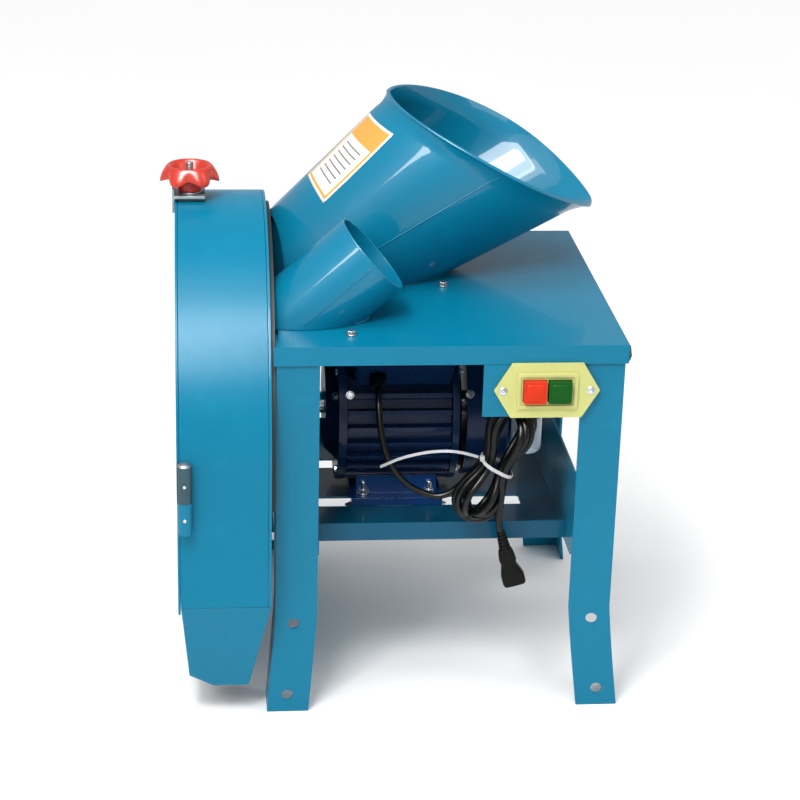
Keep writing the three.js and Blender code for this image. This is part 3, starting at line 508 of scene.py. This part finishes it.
# ---- mains cord
CORD_RADIUS = 3.5
HANK = {"x": 231.5, "y": 20, "z": 275.5, "bend": 23.2, "waist": 12.8}
LEAN_ABOVE, LEAN_BELOW = 0.33, 0.44
# Each turn: the angle of its plane, in degrees, and how far down its straight runs reach.
TURNS = ((50, 37), (20, 40), (-10, 43), (-40, 35), (-70, 33.4))
FOLD_HEIGHTS = (40, 44, 47.4, 41, 38, 35)
CORD_EXIT = (264.5, 36.5, 346.3)
TURN_SAMPLES = 12
TAIL_THROUGH_TIE = ((7.6, -21.4, 27), (6.2, -20.2, 14), (5.8, -18.9, 2), (8.6, -18.4, -10))
TAIL = ((236.3, 2.2, 250), (235.4, 4.2, 235), (234.3, 7.2, 219), (235.1, 8, 214), (236.4, 9, 208.6),
        (237.6, 10, 204.9))
PLUG = {"x": 238, "y": 10, "top": 203.7, "tilt": 0.265}


def in_hank(across, y, up):
    """A point of the bundle: across and up are measured along its leaning line from the tie."""
    middle, half = (LEAN_ABOVE + LEAN_BELOW) / 2, (LEAN_ABOVE - LEAN_BELOW) / 2
    lean = middle + half * math.tanh(up / 25)
    x = HANK["x"] + across * math.cos(middle) + up * math.sin(lean)
    z = HANK["z"] - across * math.sin(middle) + up * math.cos(lean)
    return Vector((x, y, z))


def turn_point(twist, reach, up):
    """A point of a turn whose plane stands at twist degrees round the bundle's line."""
    angle = math.radians(twist)
    return in_hank(reach * math.cos(angle), HANK["y"] + reach * math.sin(angle), up)


def turn_run(twist, fold_twist, side, high, low):
    """One straight run of a turn, through the tie; side is 1 going down, -1 going up."""
    points = []
    for i in range(TURN_SAMPLES):
        f = i / TURN_SAMPLES if side > 0 else 1 - i / TURN_SAMPLES
        up = high - (high + low) * f
        spread = 0.5 - 0.5 * math.cos(math.pi * abs(up) / (high if up > 0 else low))
        turned = twist + (fold_twist - twist) * spread if up > 0 else twist
        reach = HANK["waist"] + (HANK["bend"] - HANK["waist"]) * spread
        points.append(turn_point(turned, side * reach, up))
    return points


def turn_fold(twist, side, base, direction):
    """The half circle at one end of a turn; direction is 1 at the top and -1 at the bottom."""
    points = []
    for i in range(TURN_SAMPLES):
        angle = math.pi * i / TURN_SAMPLES
        height = base + direction * HANK["bend"] * math.sin(angle)
        points.append(turn_point(twist, side * HANK["bend"] * math.cos(angle), height))
    return points


def hank_route():
    """Turns that fan round the bundle and meet at the tie, then the tail to the plug."""
    start = Vector(CORD_EXIT)
    route = [start, start - Vector((0, 0, 9)), start + Vector((0.3, -0.5, -19))]
    last = len(TURNS) - 1
    for k, (twist, low) in enumerate(TURNS):
        before = (TURNS[max(0, k - 1)][0] + twist) / 2
        after = (TURNS[min(last, k + 1)][0] + twist) / 2
        route += turn_run(twist, before, 1, FOLD_HEIGHTS[k], low)
        route += turn_fold(twist, 1, -low, -1)
        route += turn_run(twist, after, -1, FOLD_HEIGHTS[k + 1], low)
        route += turn_fold(after, -1, FOLD_HEIGHTS[k + 1], 1)
    route += [in_hank(across, HANK["y"] + y, up) for across, y, up in TAIL_THROUGH_TIE]
    route += [Vector(p) for p in TAIL]
    along = Vector((math.sin(PLUG["tilt"]), 0, -math.cos(PLUG["tilt"])))
    route.append(Vector((PLUG["x"], PLUG["y"], PLUG["top"])) + along * 10)
    return smooth_route(route, 2.2, 6)


def power_cord():
    route = [at(*p) for p in hank_route()]
    piece = curve_piece("power_cord", route, CORD_RADIUS, "stand", "jacket", "black_rubber", 5)
    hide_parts("power_cord_hank", "power_cord_tail")
    return piece


def ribbed_sleeve(name, start, along, length, wide, narrow, ribs):
    """Tapered strain relief with grooves, from start along the cord."""
    groove = 0.9
    profile = []
    for i in range(ribs):
        radius = wide + (narrow - wide) * i / ribs
        profile += [(radius, length * i / ribs), (radius, length * (i + 0.62) / ribs)]
        profile += [(radius - groove, length * (i + part) / ribs) for part in (0.66, 0.96)]
    profile.append((narrow - 0.6, length))
    return soften(lathe(name, start, along, profile, "stand", "black", "black_plastic", 28), 0.0002)


# Sections of the plug: distance from its top, half width, half thickness, shift sideways.
PLUG_SECTIONS = (
    (20, 6.2, 5.4, 0), (23, 7.6, 6.4, 0), (27, 8.4, 6.8, 0), (33, 9, 7, 0), (36, 8, 6.4, 0),
    (40, 8.4, 6.6, 0), (46, 10.5, 7.1, 0.6), (52, 12.2, 7.4, 1), (60, 12.2, 7.4, 1), (63, 11.4, 6.6, 1),
)


def plug():
    """Moulded right-angled plug: ribbed relief, waisted body, broad nose with its pins to the rear."""
    tilt = PLUG["tilt"]
    along = Vector((math.sin(tilt), 0, -math.cos(tilt)))
    across = Vector((math.cos(tilt), 0, math.sin(tilt)))
    top = at(PLUG["x"], PLUG["y"], PLUG["top"])
    relief = ribbed_sleeve("plug_relief", top, along, 24, 4.6, 6.8, 6)
    rings = []
    for reach, half, thick, shift in PLUG_SECTIONS:
        ring = []
        for angle in circle(40):
            a = bulged(math.cos(angle), 0.45) * half + shift
            d = bulged(math.sin(angle), 0.5) * thick
            ring.append(top + (along * reach + across * a + REARWARD * d) * MM)
        rings.append(ring)
    body = loft("plug_shell", rings, "stand", "black", "black_plastic")
    soften(body, 0.0006, 2, 50)
    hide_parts("plug_body")
    pieces = [relief, body]
    for number, offset in enumerate((-4.5, 6.5), 1):
        centre = top + (along * 54 + across * offset) * MM
        rings = []
        for reach, half in ((6.9, 3.1), (20, 3.1), (23, 2.2)):
            blade = rectangle(half, 0.75)
            rings.append([centre + (REARWARD * reach + along * u + across * v) * MM for u, v in blade])
        pin = loft(f"plug_pin_{number}", rings, "stand", "contact", "zinc_steel")
        soften(pin, 0.0002)
        pieces.append(pin)
    return pieces


TIE_TAIL = ((211.5, 11.5, 288), (200, 10.5, 292), (183.4, 10, 295.4), (160, 14, 293), (133.2, 21, 283.8),
            (112.4, 34, 268.8))


def cord_tie():
    """Nylon tie round the bundle's waist, its head at the left and its long end arching away."""
    half_a, half_y, corner = 17.4, 19.8, 13
    forward = 2.8
    outline = []
    for quarter, (sa, sy) in enumerate(((1, 1), (-1, 1), (-1, -1), (1, -1))):
        for i in range(7):
            angle = math.pi / 2 * (quarter + i / 6)
            a = sa * (half_a - corner) + corner * math.cos(angle)
            y = sy * (half_y - corner) + corner * math.sin(angle)
            outline.append((a, y, math.cos(angle), math.sin(angle)))
    points, normals = [], []
    lean = (LEAN_ABOVE + LEAN_BELOW) / 2
    for a, y, na, ny in outline:
        up = 0.5 - 0.12 * a
        points.append(at(*in_hank(a, HANK["y"] - forward + y, up)))
        normals.append(Vector((na * math.cos(lean), ny, -na * math.sin(lean))))
    band = strip_piece("tie_band", points, normals, 3.6 * MM, 1.1 * MM, "stand", "nylon", "nylon", True)
    head = at(*in_hank(-half_a - 1.2, HANK["y"] - 8, 4))
    rings = []
    for reach, grow in ((-2.6, 0.7), (-2.1, 1), (1.8, 1), (2.6, 0.75)):
        block = rectangle(2.9, 2.6)
        rings.append([head + Vector((reach, u * grow, v * grow)) * MM for u, v in block])
    lock = soften(loft("tie_head", rings, "stand", "nylon", "nylon"), 0.0005)
    path = [at(*p) for p in smooth_route(TIE_TAIL, 4)]
    upward = [Vector((0.1, -0.55, 0.83))] * len(path)
    tail = strip_piece("tie_tail", path, upward, 3.2 * MM, 1.0 * MM, "stand", "nylon", "nylon")
    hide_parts("cable_tie")
    return [band, lock, tail]


def make_cords():
    cord = power_cord()
    relief = ribbed_sleeve("cord_relief", at(*CORD_EXIT), (0.03, 0, -1), 21, 5.6, 4.3, 5)
    pieces = plug() + cord_tie() + [relief]


make_cords()

LEAD_ROUTE = (
    (114, 96.8, 331.5), (114, 92.5, 328.6), (113.6, 84.5, 319), (114.6, 77, 302), (117.6, 71, 283),
    (122.6, 66, 266), (131, 60, 251), (145, 54, 238), (160, 50.5, 231), (174, 48.5, 228), (187, 47, 232),
    (202, 46.5, 245.5), (217, 46.3, 265), (228, 46.3, 284.5), (237.5, 46, 305.5), (246, 44.5, 327),
    (250.8, 41.5, 346.2),
)


def motor_lead():
    route = [at(*p) for p in smooth_route(LEAD_ROUTE, 3)]
    piece = curve_piece("motor_lead_jacket", route, CORD_RADIUS, "stand", "jacket", "black_rubber", 5)
    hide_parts("motor_lead")


motor_lead()


# ---- CAD nodes
LOOKS = {
    "teal": ["table_top", "leg_front_left", "leg_front_right", "leg_rear_left", "leg_rear_right",
             "tray_side_plate", "housing_back_plate", "housing_knuckle", "main_chute", "grain_tube",
             "switch_bracket", "discharge_spout"],
    "hinge_sleeve": ["door_knuckle"],
    "drum_teal": ["housing_band", "door_plate"],
    # Painted shade: the motor tray, in the table's shadow, and the feed throat, a sheet filling the dark gap
    # beside the drum, get the darkened teal.
    "painted_shade_teal": ["motor_tray", "feed_throat"],
    "navy": ["motor_frame", "motor_end_bell_drive", "motor_end_bell_rear", "fan_cowl", "junction_box",
             "junction_box_lid"],
    "cast_navy": ["motor_foot"],
    "bracket": ["door_bracket"],
    "worn_zinc": ["clamp_stud", "clamp_washer", "rotor_nut"],
    "zinc": ["bearing_drive", "bearing_rear", "motor_shaft", "knife_1", "knife_2", "knife_3", "hammer_pin_1",
             "hammer_pin_2", "hammer_pin_3"],
    "tool": ["screen", "ledger_knife", "rotor_disc", "rotor_end_plate", "hammer_1", "hammer_2", "hammer_3"],
    "iron": ["motor_stator"],
    "red": ["star_knob"],
    "red_button": ["button_stop"],
    "green": ["button_start"],
    "cream": ["switch_plate"],
    "rubber": ["stand_gasket", "door_seal", "clamp_pad"],
    "black": ["cooling_fan", "cable_gland", "switch_body", "plug_body"],
    "jacket": ["motor_lead", "power_cord_hank", "power_cord_tail"],
    "nylon": ["cable_tie"],
}
# Edge rounding of CAD nodes, in millimetres.
EDGE = {
    "table_top": 1.1, "leg_front_left": 1.1, "leg_front_right": 1.1, "leg_rear_left": 1.1,
    "leg_rear_right": 1.1, "motor_tray": 0.9, "button_stop": 1.6, "button_start": 1.6, "junction_box": 1.2,
    "junction_box_lid": 1.6, "motor_foot": 1.5, "fan_cowl": 0.9, "motor_frame": 0.8, "feed_throat": 0.4,
    "discharge_spout": 0.9, "housing_band": 0.8, "door_plate": 0.7,
}
DEFAULT_EDGE = 0.5


def dress(name, material):
    """Welds the import's split corners, rounds the edges, shades smooth and puts on the finish."""
    node = NODES[name]
    for attribute in ("custom_normal", "sharp_face", "sharp_edge"):
        if attribute in node.data.attributes:
            node.data.attributes.remove(node.data.attributes[attribute])
    node.data.polygons.foreach_set("use_smooth", [True] * len(node.data.polygons))
    weld = node.modifiers.new("weld", "WELD")
    weld.merge_threshold = 0.00001
    soften(node, EDGE.get(name, DEFAULT_EDGE) * MM)
    node.data.materials.clear()
    node.data.materials.append(MATERIAL[material])


for look, names in LOOKS.items():
    for node_name in names:
        dress(node_name, look)


# ---- feed inlets
CHUTE = {"y": 250, "half_width_base": 76, "half_height_base": 81.5, "half_width_neck": 101,
         "half_length_neck": 120.2, "flare": 10, "arch": 12, "back": 2.8, "slant": 92, "wall": 2.8}
# Middles of the chute's base and neck, and the step from the neck's middle to the rim's.
BASE = Vector((-4, CHUTE["y"], 389))
NECK = Vector((221.8, CHUTE["y"], 538))
RIM_STEP = Vector((22.2, 0, 13.8))
# From the neck's middle towards its low end and its far side.
NECK_LOW = Vector((0.876, 0, -0.483))
NECK_FAR = Vector((0, 1, 0.09))
# The chute's cut beside the drum moves out by "slant" over this length.
SLANT_RUN = CHUTE["y"] + 200
# Planes that end both inlets: a point and the way out.
TABLE_CUT = ((0, 0, TABLE_TOP + 0.4), (0, 0, -1))
DRUM_CUT = ((CHUTE["back"], 0, 0), (-1, 0, 0))


def chute_point(angle, along, inset=0.0):
    """A point of the chute's skin: angle goes round, along is 0 at the drum, 1 at the neck, 2 at the rim."""
    t, flare = min(along, 1), max(0, along - 1)
    centre = BASE.lerp(NECK, t) + RIM_STEP * flare
    u = Vector((0, 0, -CHUTE["half_height_base"])).lerp(NECK_LOW * CHUTE["half_length_neck"], t)
    v = (REARWARD * CHUTE["half_width_base"]).lerp(NECK_FAR * CHUTE["half_width_neck"], t)
    spread = CHUTE["flare"] * flare ** 1.8 - inset
    u = u.normalized() * (u.length + spread)
    v = v.normalized() * (v.length + spread)
    # The mouth narrows to a tip at its lower end, and its far half leans towards that tip.
    a = math.cos(angle)
    far = max(0, math.sin(angle))
    tip = 0.42 * t * t + 0.1 * flare
    b = math.sin(angle) * (1 - (tip - 0.16 * far) * max(0, a) ** 2.2)
    point = centre + u * (a + 0.22 * t * far) + v * b
    point.z += CHUTE["arch"] * t * (1 - a * a)
    return point


def cut_mesh(build, point, normal):
    """Drops what lies on the side that normal points to."""
    parts = build.verts[:] + build.edges[:] + build.faces[:]
    bmesh.ops.bisect_plane(build, geom=parts, dist=1e-6, plane_co=point, plane_no=normal, clear_outer=True)


def shell_piece(name, grid, cuts, thickness, replaced):
    """A thin-walled tube from a grid of points, cut by planes and given its wall inwards."""
    build = bmesh.new()
    rows = [[build.verts.new(at(*p)) for p in row] for row in grid]
    count = len(rows[0])
    for first, second in zip(rows, rows[1:]):
        for i in range(count):
            j = (i + 1) % count
            build.faces.new((first[i], first[j], second[j], second[i]))
    bmesh.ops.recalc_face_normals(build, faces=build.faces)
    for point, normal in cuts:
        cut_mesh(build, at(*point), Vector(normal))
    piece = place(smooth_object(name, build), "stand", "gloss_teal", "teal_paint")
    wall = piece.modifiers.new("wall", "SOLIDIFY")
    wall.thickness = thickness * MM
    wall.offset = -1
    wall.use_even_offset = True
    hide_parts(replaced)
    return piece


def main_chute():
    rows, sides = 26, 112
    grid = []
    for r in range(rows + 1):
        along = -0.25 + 2.25 * r / rows
        grid.append([chute_point(angle, along) for angle in circle(sides)])
    slant = Vector((SLANT_RUN, CHUTE["slant"], 0)).normalized()
    cuts = [TABLE_CUT, DRUM_CUT, ((CHUTE["back"], CHUTE["y"], 0), (-slant.x, -slant.y, 0))]
    piece = shell_piece("feed_chute", grid, cuts, CHUTE["wall"], "main_chute")
    soften(piece, 0.0007, 3, 50)
    rim = [chute_point(angle, 1.985, 0.7) for angle in circle(180)]
    bead("chute_rim_bead", rim, 1.7, True)
    seam = [chute_point(math.radians(272), 0.2 + 1.45 * i / 60, -0.15) for i in range(61)]
    bead("chute_seam", [p for p in seam if p.z > TABLE_TOP + 4], 0.65, False)
    foot = [chute_foot(math.radians(200 + 80 * i / 89)) for i in range(90)]
    bead("chute_weld", [p for p in foot if p], 1.5, False, rough=True)


def chute_foot(angle):
    """Where the skin at this angle comes down to the table, or None where it doesn't."""
    low, high = 0.0, 1.2
    if chute_point(angle, low).z > TABLE_TOP or chute_point(angle, high).z < TABLE_TOP:
        return None
    for _ in range(18):
        middle = (low + high) / 2
        if chute_point(angle, middle).z < TABLE_TOP + 1:
            low = middle
        else:
            high = middle
    point = chute_point(angle, low)
    cut_side = CHUTE["back"] + CHUTE["slant"] * (CHUTE["y"] - point.y) / SLANT_RUN
    return point if point.x > cut_side + 3 else None


def bead(name, points, radius, joined, rough=False):
    """A rolled edge or weld bead: a thin round bar along points, wavy where it is a weld."""
    rings = []
    for i, (point, along) in enumerate(directions(points, joined)):
        side, other, _ = frame_of(along)
        size = radius * (1 + 0.22 * math.sin(i * 2.1) * rough)
        ring = []
        for angle in circle(10):
            ring.append(at(*(point + (side * math.cos(angle) + other * math.sin(angle)) * size)))
        rings.append(ring)
    return loft(name, rings, "stand", "gloss_teal", "teal_paint", joined=joined)


GRAIN = {"y": 96, "radius": 47.2, "tilt": 42, "x": 105.2, "z": 481.2, "wall": 2.5}


def grain_tube():
    tilt = math.radians(GRAIN["tilt"])
    along = Vector((math.cos(tilt), 0, math.sin(tilt)))
    up = Vector((-math.sin(tilt), 0, math.cos(tilt)))
    centre = Vector((GRAIN["x"], GRAIN["y"], GRAIN["z"]))

    def outward(angle):
        return up * math.cos(angle) + REARWARD * math.sin(angle)

    def ring(reach, radius, sides=96):
        return [centre + along * reach + outward(angle) * radius for angle in circle(sides)]

    grid = [ring(reach, GRAIN["radius"]) for reach in (-250, -190, -140, -100, -60, -30, -12, -2, 0)]
    piece = shell_piece("grain_inlet", grid, [TABLE_CUT, DRUM_CUT], GRAIN["wall"], "grain_tube")
    soften(piece, 0.0006, 3, 50)
    bead("grain_rim_bead", ring(-0.9, GRAIN["radius"] - 1.1, 120), 1.35, True)
    near = (up * 0.05 - REARWARD) * (GRAIN["radius"] + 0.1)
    seam = [centre + along * reach + near for reach in range(-95, -2, 3)]
    bead("grain_seam", [p for p in seam if p.z > TABLE_TOP + 3], 0.5, False)
    # The weld follows the tube's skin where it comes down to the table.
    foot = []
    for i in range(70):
        angle = math.radians(128 + 92 * i / 69)
        drop = (centre.z + up.z * math.cos(angle) * GRAIN["radius"] - TABLE_TOP - 1) / along.z
        foot.append(centre - along * drop + outward(angle) * GRAIN["radius"])
    bead("grain_weld", [p for p in foot if p.x > 6], 1.4, False, rough=True)


def sticker():
    """Plain coloured sticker high on the near side of the chute, bent to its skin."""
    across, along = 18, 26
    build = bmesh.new()
    layer = build.loops.layers.uv.new("UVMap")
    grid = []
    for r in range(along + 1):
        row = []
        for c in range(across + 1):
            v = r / along
            u = c / across
            # u goes round the chute, from its top line towards the viewer; v goes up along it.
            reach = 0.41 + 0.02 * u + 0.55 * v
            angle = math.radians(181.5 + (40 - 6.5 * v) * u)
            row.append(build.verts.new(at(*chute_point(angle, reach, -0.35))))
        grid.append(row)
    for r in range(along):
        for c in range(across):
            face = build.faces.new((grid[r][c], grid[r][c + 1], grid[r + 1][c + 1], grid[r + 1][c]))
            corners = ((c, r), (c + 1, r), (c + 1, r + 1), (c, r + 1))
            for loop, (i, j) in zip(face.loops, corners):
                loop[layer].uv = (i / across, j / along)
    bmesh.ops.recalc_face_normals(build, faces=build.faces)
    piece = place(smooth_object("chute_sticker", build), "stand", "sticker", "nylon")
    wall = piece.modifiers.new("paper", "SOLIDIFY")
    wall.thickness = 0.25 * MM
    wall.offset = 0


main_chute()
grain_tube()
sticker()


# ---- clamp knob
# Radius, height, how far the gaps between the lobes cut in, how far the lobes droop.
KNOB_PROFILE = (
    (4.4, 0, 0, 0), (11, 0, 0, 0), (12.2, 0.7, 0, 0), (12.8, 4, 0, 0), (13.6, 8.5, 0.01, 0),
    (16, 12, 0.03, 0), (21, 14.6, 0.08, 0.6), (26, 14.2, 0.13, 1.6), (29.6, 12.8, 0.16, 2.6),
    (31.1, 13, 0.17, 3), (31.4, 14.8, 0.17, 3), (30.6, 17.6, 0.16, 2.4), (28.6, 21.4, 0.12, 1.2),
    (26.2, 24.6, 0.06, 0.4), (24.2, 26.9, 0.02, 0), (22.8, 27.9, 0, 0), (21.2, 28, 0, 0), (19.8, 27, 0, 0),
    (17.8, 23.6, 0, 0), (15.4, 18.4, 0, 0), (12, 14.4, 0, 0), (8, 13.2, 0, 0), (4.4, 13, 0, 0),
)
INSERT_PROFILE = ((5, 0), (7.6, 0), (7.6, 2.6), (6.8, 3.4), (5, 3.4))
INSERT_HEIGHT = 13.2


def star_knob():
    """Cup-shaped star knob: a tapered hub, drooping lobes and a hollow crown round the stud."""
    centre = at(KNOB_X, AXIS_Y, 0)
    centre.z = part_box("star_knob")[0].z
    lobes, count = 6, 144
    rings = []
    for radius, height, depth, droop in KNOB_PROFILE:
        ring = []
        for angle in circle(count):
            wave = 0.5 - 0.5 * math.cos(lobes * angle)
            reach = radius * (1 - depth * wave ** 1.4)
            z = height - droop * (1 - wave) + 0.6 * droop * wave
            ring.append(centre + Vector((reach * math.cos(angle), reach * math.sin(angle), z)) * MM)
        rings.append(ring)
    piece = loft("knob_star", rings, "clamp_knob", "red", "red_plastic", joined=True)
    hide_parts("star_knob")
    insert = lathe("knob_insert", centre + Vector((0, 0, INSERT_HEIGHT * MM)), (0, 0, 1), INSERT_PROFILE,
                   "clamp_knob", "worn_zinc", "zinc_steel", sides=6, joined=True)
    soften(insert, 0.0002)


def stud_thread():
    """Thread ridges on the stud's free end."""
    low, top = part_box("star_knob")[0].z / MM + 17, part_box("clamp_stud")[1].z / MM
    crest, root, pitch = 4.12, 3.6, 1.25
    centre = at(KNOB_X, AXIS_Y, 0)
    profile = [(3.2, low)]
    height = low + 0.4
    while height < top - 1.6:
        profile += [(crest, height), (crest, height + 0.25), (root, height + 0.9)]
        height += pitch
    profile += [(4.0, top - 0.9), (3.1, top + 0.15)]
    lathe("stud_thread", centre, (0, 0, 1), profile, "stand", "zinc", "zinc_steel", 24)


star_knob()
stud_thread()


# ---- fixings
# Screws on the motor's near side: where each sits and which way it faces.
FRAME_SCREWS = (
    ((215.2, 122.9, 314), (0.13, -0.92, 0.38)),
    ((72.3, 140.1, 306.4), (-0.76, -0.58, 0.31)),
    ((85.9, 119.8, 315.4), (0, -0.9, 0.43)),
)
TABLE_BOLTS = ((80, 36), (190, 190))
FOOT_BOLTS = ((104, 142), (176, 142), (104, 248), (176, 248))
TRAY_UNDERSIDE = 179
FOOT_PLATE = ((19.6, 0.1), (20, 0.5), (20, 2.4), (19.6, 2.8))
BELL_BOLT_CIRCLE = 79
BELL_DRIVE_X, BELL_REAR_X = 73.8, 204.2
HINGE_X = -90
HINGE_CAP = ((7.2, 0), (7.2, 1), (5.4, 2.6), (2, 3.4))
CORNER_SHADOW_PROFILE = ((8.6, 0), (8.8, 0.8), (8, 1.9))


def motor_fixings():
    for number, (x, y) in enumerate(FOOT_BOLTS, 1):
        bolt(f"foot_bolt_{number}", at(x, y, TRAY_TOP + 9.3), (0, 0, 1), 6.6, "stand", stub=9)
        lathe(f"foot_plate_{number}", at(x, y, TRAY_UNDERSIDE), (0, 0, -1), FOOT_PLATE, "stand", "zinc",
              "zinc_steel", sides=4)
        nut_height = TRAY_UNDERSIDE - FOOT_PLATE[-1][1]
        bolt(f"foot_nut_{number}", at(x, y, nut_height), (0, 0, -1), 6.6, "stand", stub=4)
    for number in range(1, 5):
        angle = math.radians(90 * number - 45)
        y = AXIS_Y + BELL_BOLT_CIRCLE * math.cos(angle)
        z = AXIS_Z + BELL_BOLT_CIRCLE * math.sin(angle)
        bolt(f"bell_bolt_{number}", at(BELL_DRIVE_X, y, z), (-1, 0, 0), 4.6, "stand", washer=False)
        bolt(f"bell_nut_{number}", at(BELL_REAR_X, y, z), (1, 0, 0), 4.6, "stand", washer=False, stub=3)


def fixings():
    for number, (x, y) in enumerate(TABLE_BOLTS, 1):
        bolt(f"table_bolt_{number}", at(x, y, TABLE_TOP), (0, 0, 1), 5.4, "stand", "worn_zinc")
    motor_fixings()
    for side, offset in (("left", -45), ("right", 45)):
        centre = at(SWITCH_X + offset, -3.6, SWITCH_Z)
        cross_screw(f"switch_screw_{side}", centre, (0, -1, 0), 4.3, "stand")
    for number, (z, body) in enumerate(((244, "stand"), (281, "door")), 1):
        bolt(f"hinge_rivet_{number}", at(HINGE_X, -40.2, z), (0, -1, 0), 2.2, body, washer=False)
    for number, (point, normal) in enumerate(FRAME_SCREWS, 1):
        bolt(f"frame_screw_{number}", at(*point), normal, 4.4, "stand")
    cap = lathe("hinge_cap", at(HINGE_X, -33.5, 301), (0, 0, 1), HINGE_CAP, "door", "worn_zinc", "zinc_steel")
    soften(cap, 0.0003)
    # Painted shade: a thin black plate on the table's right front corner stands in for the dark shadow at
    # that corner.
    lathe("corner_shadow_plate", at(360.2, 6, 403), (1, 0, 0), CORNER_SHADOW_PROFILE, "stand", "rubber", "black_rubber", sides=4)


def button_trim():
    """A cushion face on each push button."""
    for name, body, material, slot in (("stop", "stop_button", "red_button", "red_plastic"),
                                       ("start", "start_button", "green", "green_plastic")):
        low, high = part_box("button_" + name)
        middle = (low + high) / 2
        half = (high.x - low.x) / 2
        rings = []
        for reach, depth in ((0.8, 0.0), (0.78, 0.0005), (0.68, 0.0009), (0.2, 0.0012)):
            ring = []
            for angle in circle(40):
                a = bulged(math.cos(angle), 0.35) * half * reach
                b = bulged(math.sin(angle), 0.35) * half * reach
                ring.append(Vector((middle.x + a, low.y - depth + 0.0001, middle.z + b)))
            rings.append(ring)
        loft(f"button_face_{name}", rings, body, material, slot)


CAPACITOR = {"x": 268.5, "y": 64, "low": 270, "band_z": 318, "band_radius": 16.8, "hanger_y": 82.2}
CAN_PROFILE = (
    (8, 3), (12.4, 3.8), (15, 6.2), (16, 10), (16, 60), (15.4, 62.4), (13.6, 63.4), (13.6, 64.2), (4, 64.4),
)


def capacitor():
    """Pale capacitor that hangs behind the switch on a strap."""
    x, y, band_z = CAPACITOR["x"], CAPACITOR["y"], CAPACITOR["band_z"]
    can = lathe("capacitor_can", at(x, y, CAPACITOR["low"]), (0, 0, 1), CAN_PROFILE, "stand", "capacitor",
                "nylon", 48)
    soften(can, 0.0003)
    normals = [Vector((math.cos(angle), math.sin(angle), 0)) for angle in circle(48)]
    band = [at(*(Vector((x, y, band_z)) + normal * CAPACITOR["band_radius"])) for normal in normals]
    strip_piece("capacitor_band", band, normals, 8 * MM, 1.2 * MM, "stand", "worn_zinc", "zinc_steel", True)
    hanger = [at(x, CAPACITOR["hanger_y"], z) for z in (314, 360, 411.3)]
    facing = [REARWARD] * len(hanger)
    strip_piece("capacitor_hanger", hanger, facing, 12 * MM, 1.4 * MM, "stand", "worn_zinc", "zinc_steel")
    for number, start in enumerate((x - 5, x + 5), 1):
        route = smooth_route([(start, y, 333.5), (start, y - 1, 341), (start + 2, y - 7, 349),
                              (start + 4, y - 17.5, 353)], 2)
        wire = [at(*p) for p in route]
        curve_piece(f"capacitor_wire_{number}", wire, 1.3, "stand", "jacket", "black_rubber", 3)


def leg_welds():
    """Short weld beads where the legs meet the table's lip and the tray."""
    for side, x0, x1 in (("left", 6, 44), ("right", 318, 355)):
        points = [Vector((x0 + (x1 - x0) * i / 24, 2.6, 394)) for i in range(25)]
        bead(f"leg_weld_{side}", points, 1.0, False, rough=True)
    for side, x in (("left", 47.2), ("right", 315.2)):
        points = [Vector((x, 6.4, 182 + 16 * i / 12)) for i in range(13)]
        bead(f"tray_weld_{side}", points, 1.0, False, rough=True)


fixings()
button_trim()
capacitor()
leg_welds()


# ---- floor and light
FLOOR_HALF, FLOOR_HEIGHT = 14, -0.0006


def make_floor():
    build = bmesh.new()
    build.faces.new([build.verts.new((x, y, FLOOR_HEIGHT)) for x, y in rectangle(FLOOR_HALF, FLOOR_HALF)])
    mesh = bpy.data.meshes.new("floor")
    build.to_mesh(mesh)
    build.free()
    floor = bpy.data.objects.new("floor", mesh)
    bpy.context.scene.collection.objects.link(floor)
    nodes = varied("floor_white", (0.97, 0.97, 0.97, 1), 0.8, 0.01, 0.0, 1.0, 60, 0.0001, 0.05, specular=0.05)
    mesh.materials.append(nodes.material)


WORLD_STRENGTH = 0.6
MIDDLE = (150, 200, 300)


def area_light(name, place_mm, target_mm, width, height, power):
    data = bpy.data.lights.new(name, "AREA")
    data.shape = "RECTANGLE"
    data.size, data.size_y = width, height
    data.energy = power
    lamp = bpy.data.objects.new(name, data)
    bpy.context.scene.collection.objects.link(lamp)
    lamp.location = at(*place_mm)
    lamp.rotation_euler = (at(*target_mm) - at(*place_mm)).to_track_quat("-Z", "Y").to_euler()
    return lamp


def sun_light(name, elevation, azimuth, strength, softness):
    """A distant lamp; azimuth is 0 from straight in front and grows to the right."""
    data = bpy.data.lights.new(name, "SUN")
    data.energy = strength
    data.angle = math.radians(softness)
    lamp = bpy.data.objects.new(name, data)
    bpy.context.scene.collection.objects.link(lamp)
    rise, turn = math.radians(elevation), math.radians(azimuth)
    source = Vector((math.sin(turn) * math.cos(rise), -math.cos(turn) * math.cos(rise), math.sin(rise)))
    lamp.rotation_euler = source.to_track_quat("Z", "Y").to_euler()


def make_light():
    world = bpy.data.worlds.new("studio")
    world.use_nodes = True
    background = world.node_tree.nodes["Background"]
    background.inputs["Color"].default_value = (1, 1, 1, 1)
    background.inputs["Strength"].default_value = WORLD_STRENGTH
    bpy.context.scene.world = world
    sun_light("overhead", 64, -30, 1.3, 60)
    area_light("window_panel", (-330, -930, 1710), (280, 340, 520), 0.42, 0.55, 17)
    area_light("gloss_card", (-375, -1010, 1800), (280, 340, 520), 1.3, 1.35, 110).visible_diffuse = False
    area_light("high_panel", (-340, -230, 2100), MIDDLE, 0.5, 0.5, 6)
    area_light("left_strip", (-790, -1170, 1310), MIDDLE, 0.14, 0.4, 4).visible_glossy = False
    area_light("small_lamp", (-60, -1500, 820), (-66, 0, 380), 0.045, 0.035, 0.25)
    area_light("right_panel", (1500, -500, 1500), MIDDLE, 0.4, 0.9, 4)
    bpy.context.scene.view_settings.view_transform = "Standard"
    bpy.context.scene.view_settings.look = "None"


make_floor()
make_light()

bpy.context.view_layer.update()
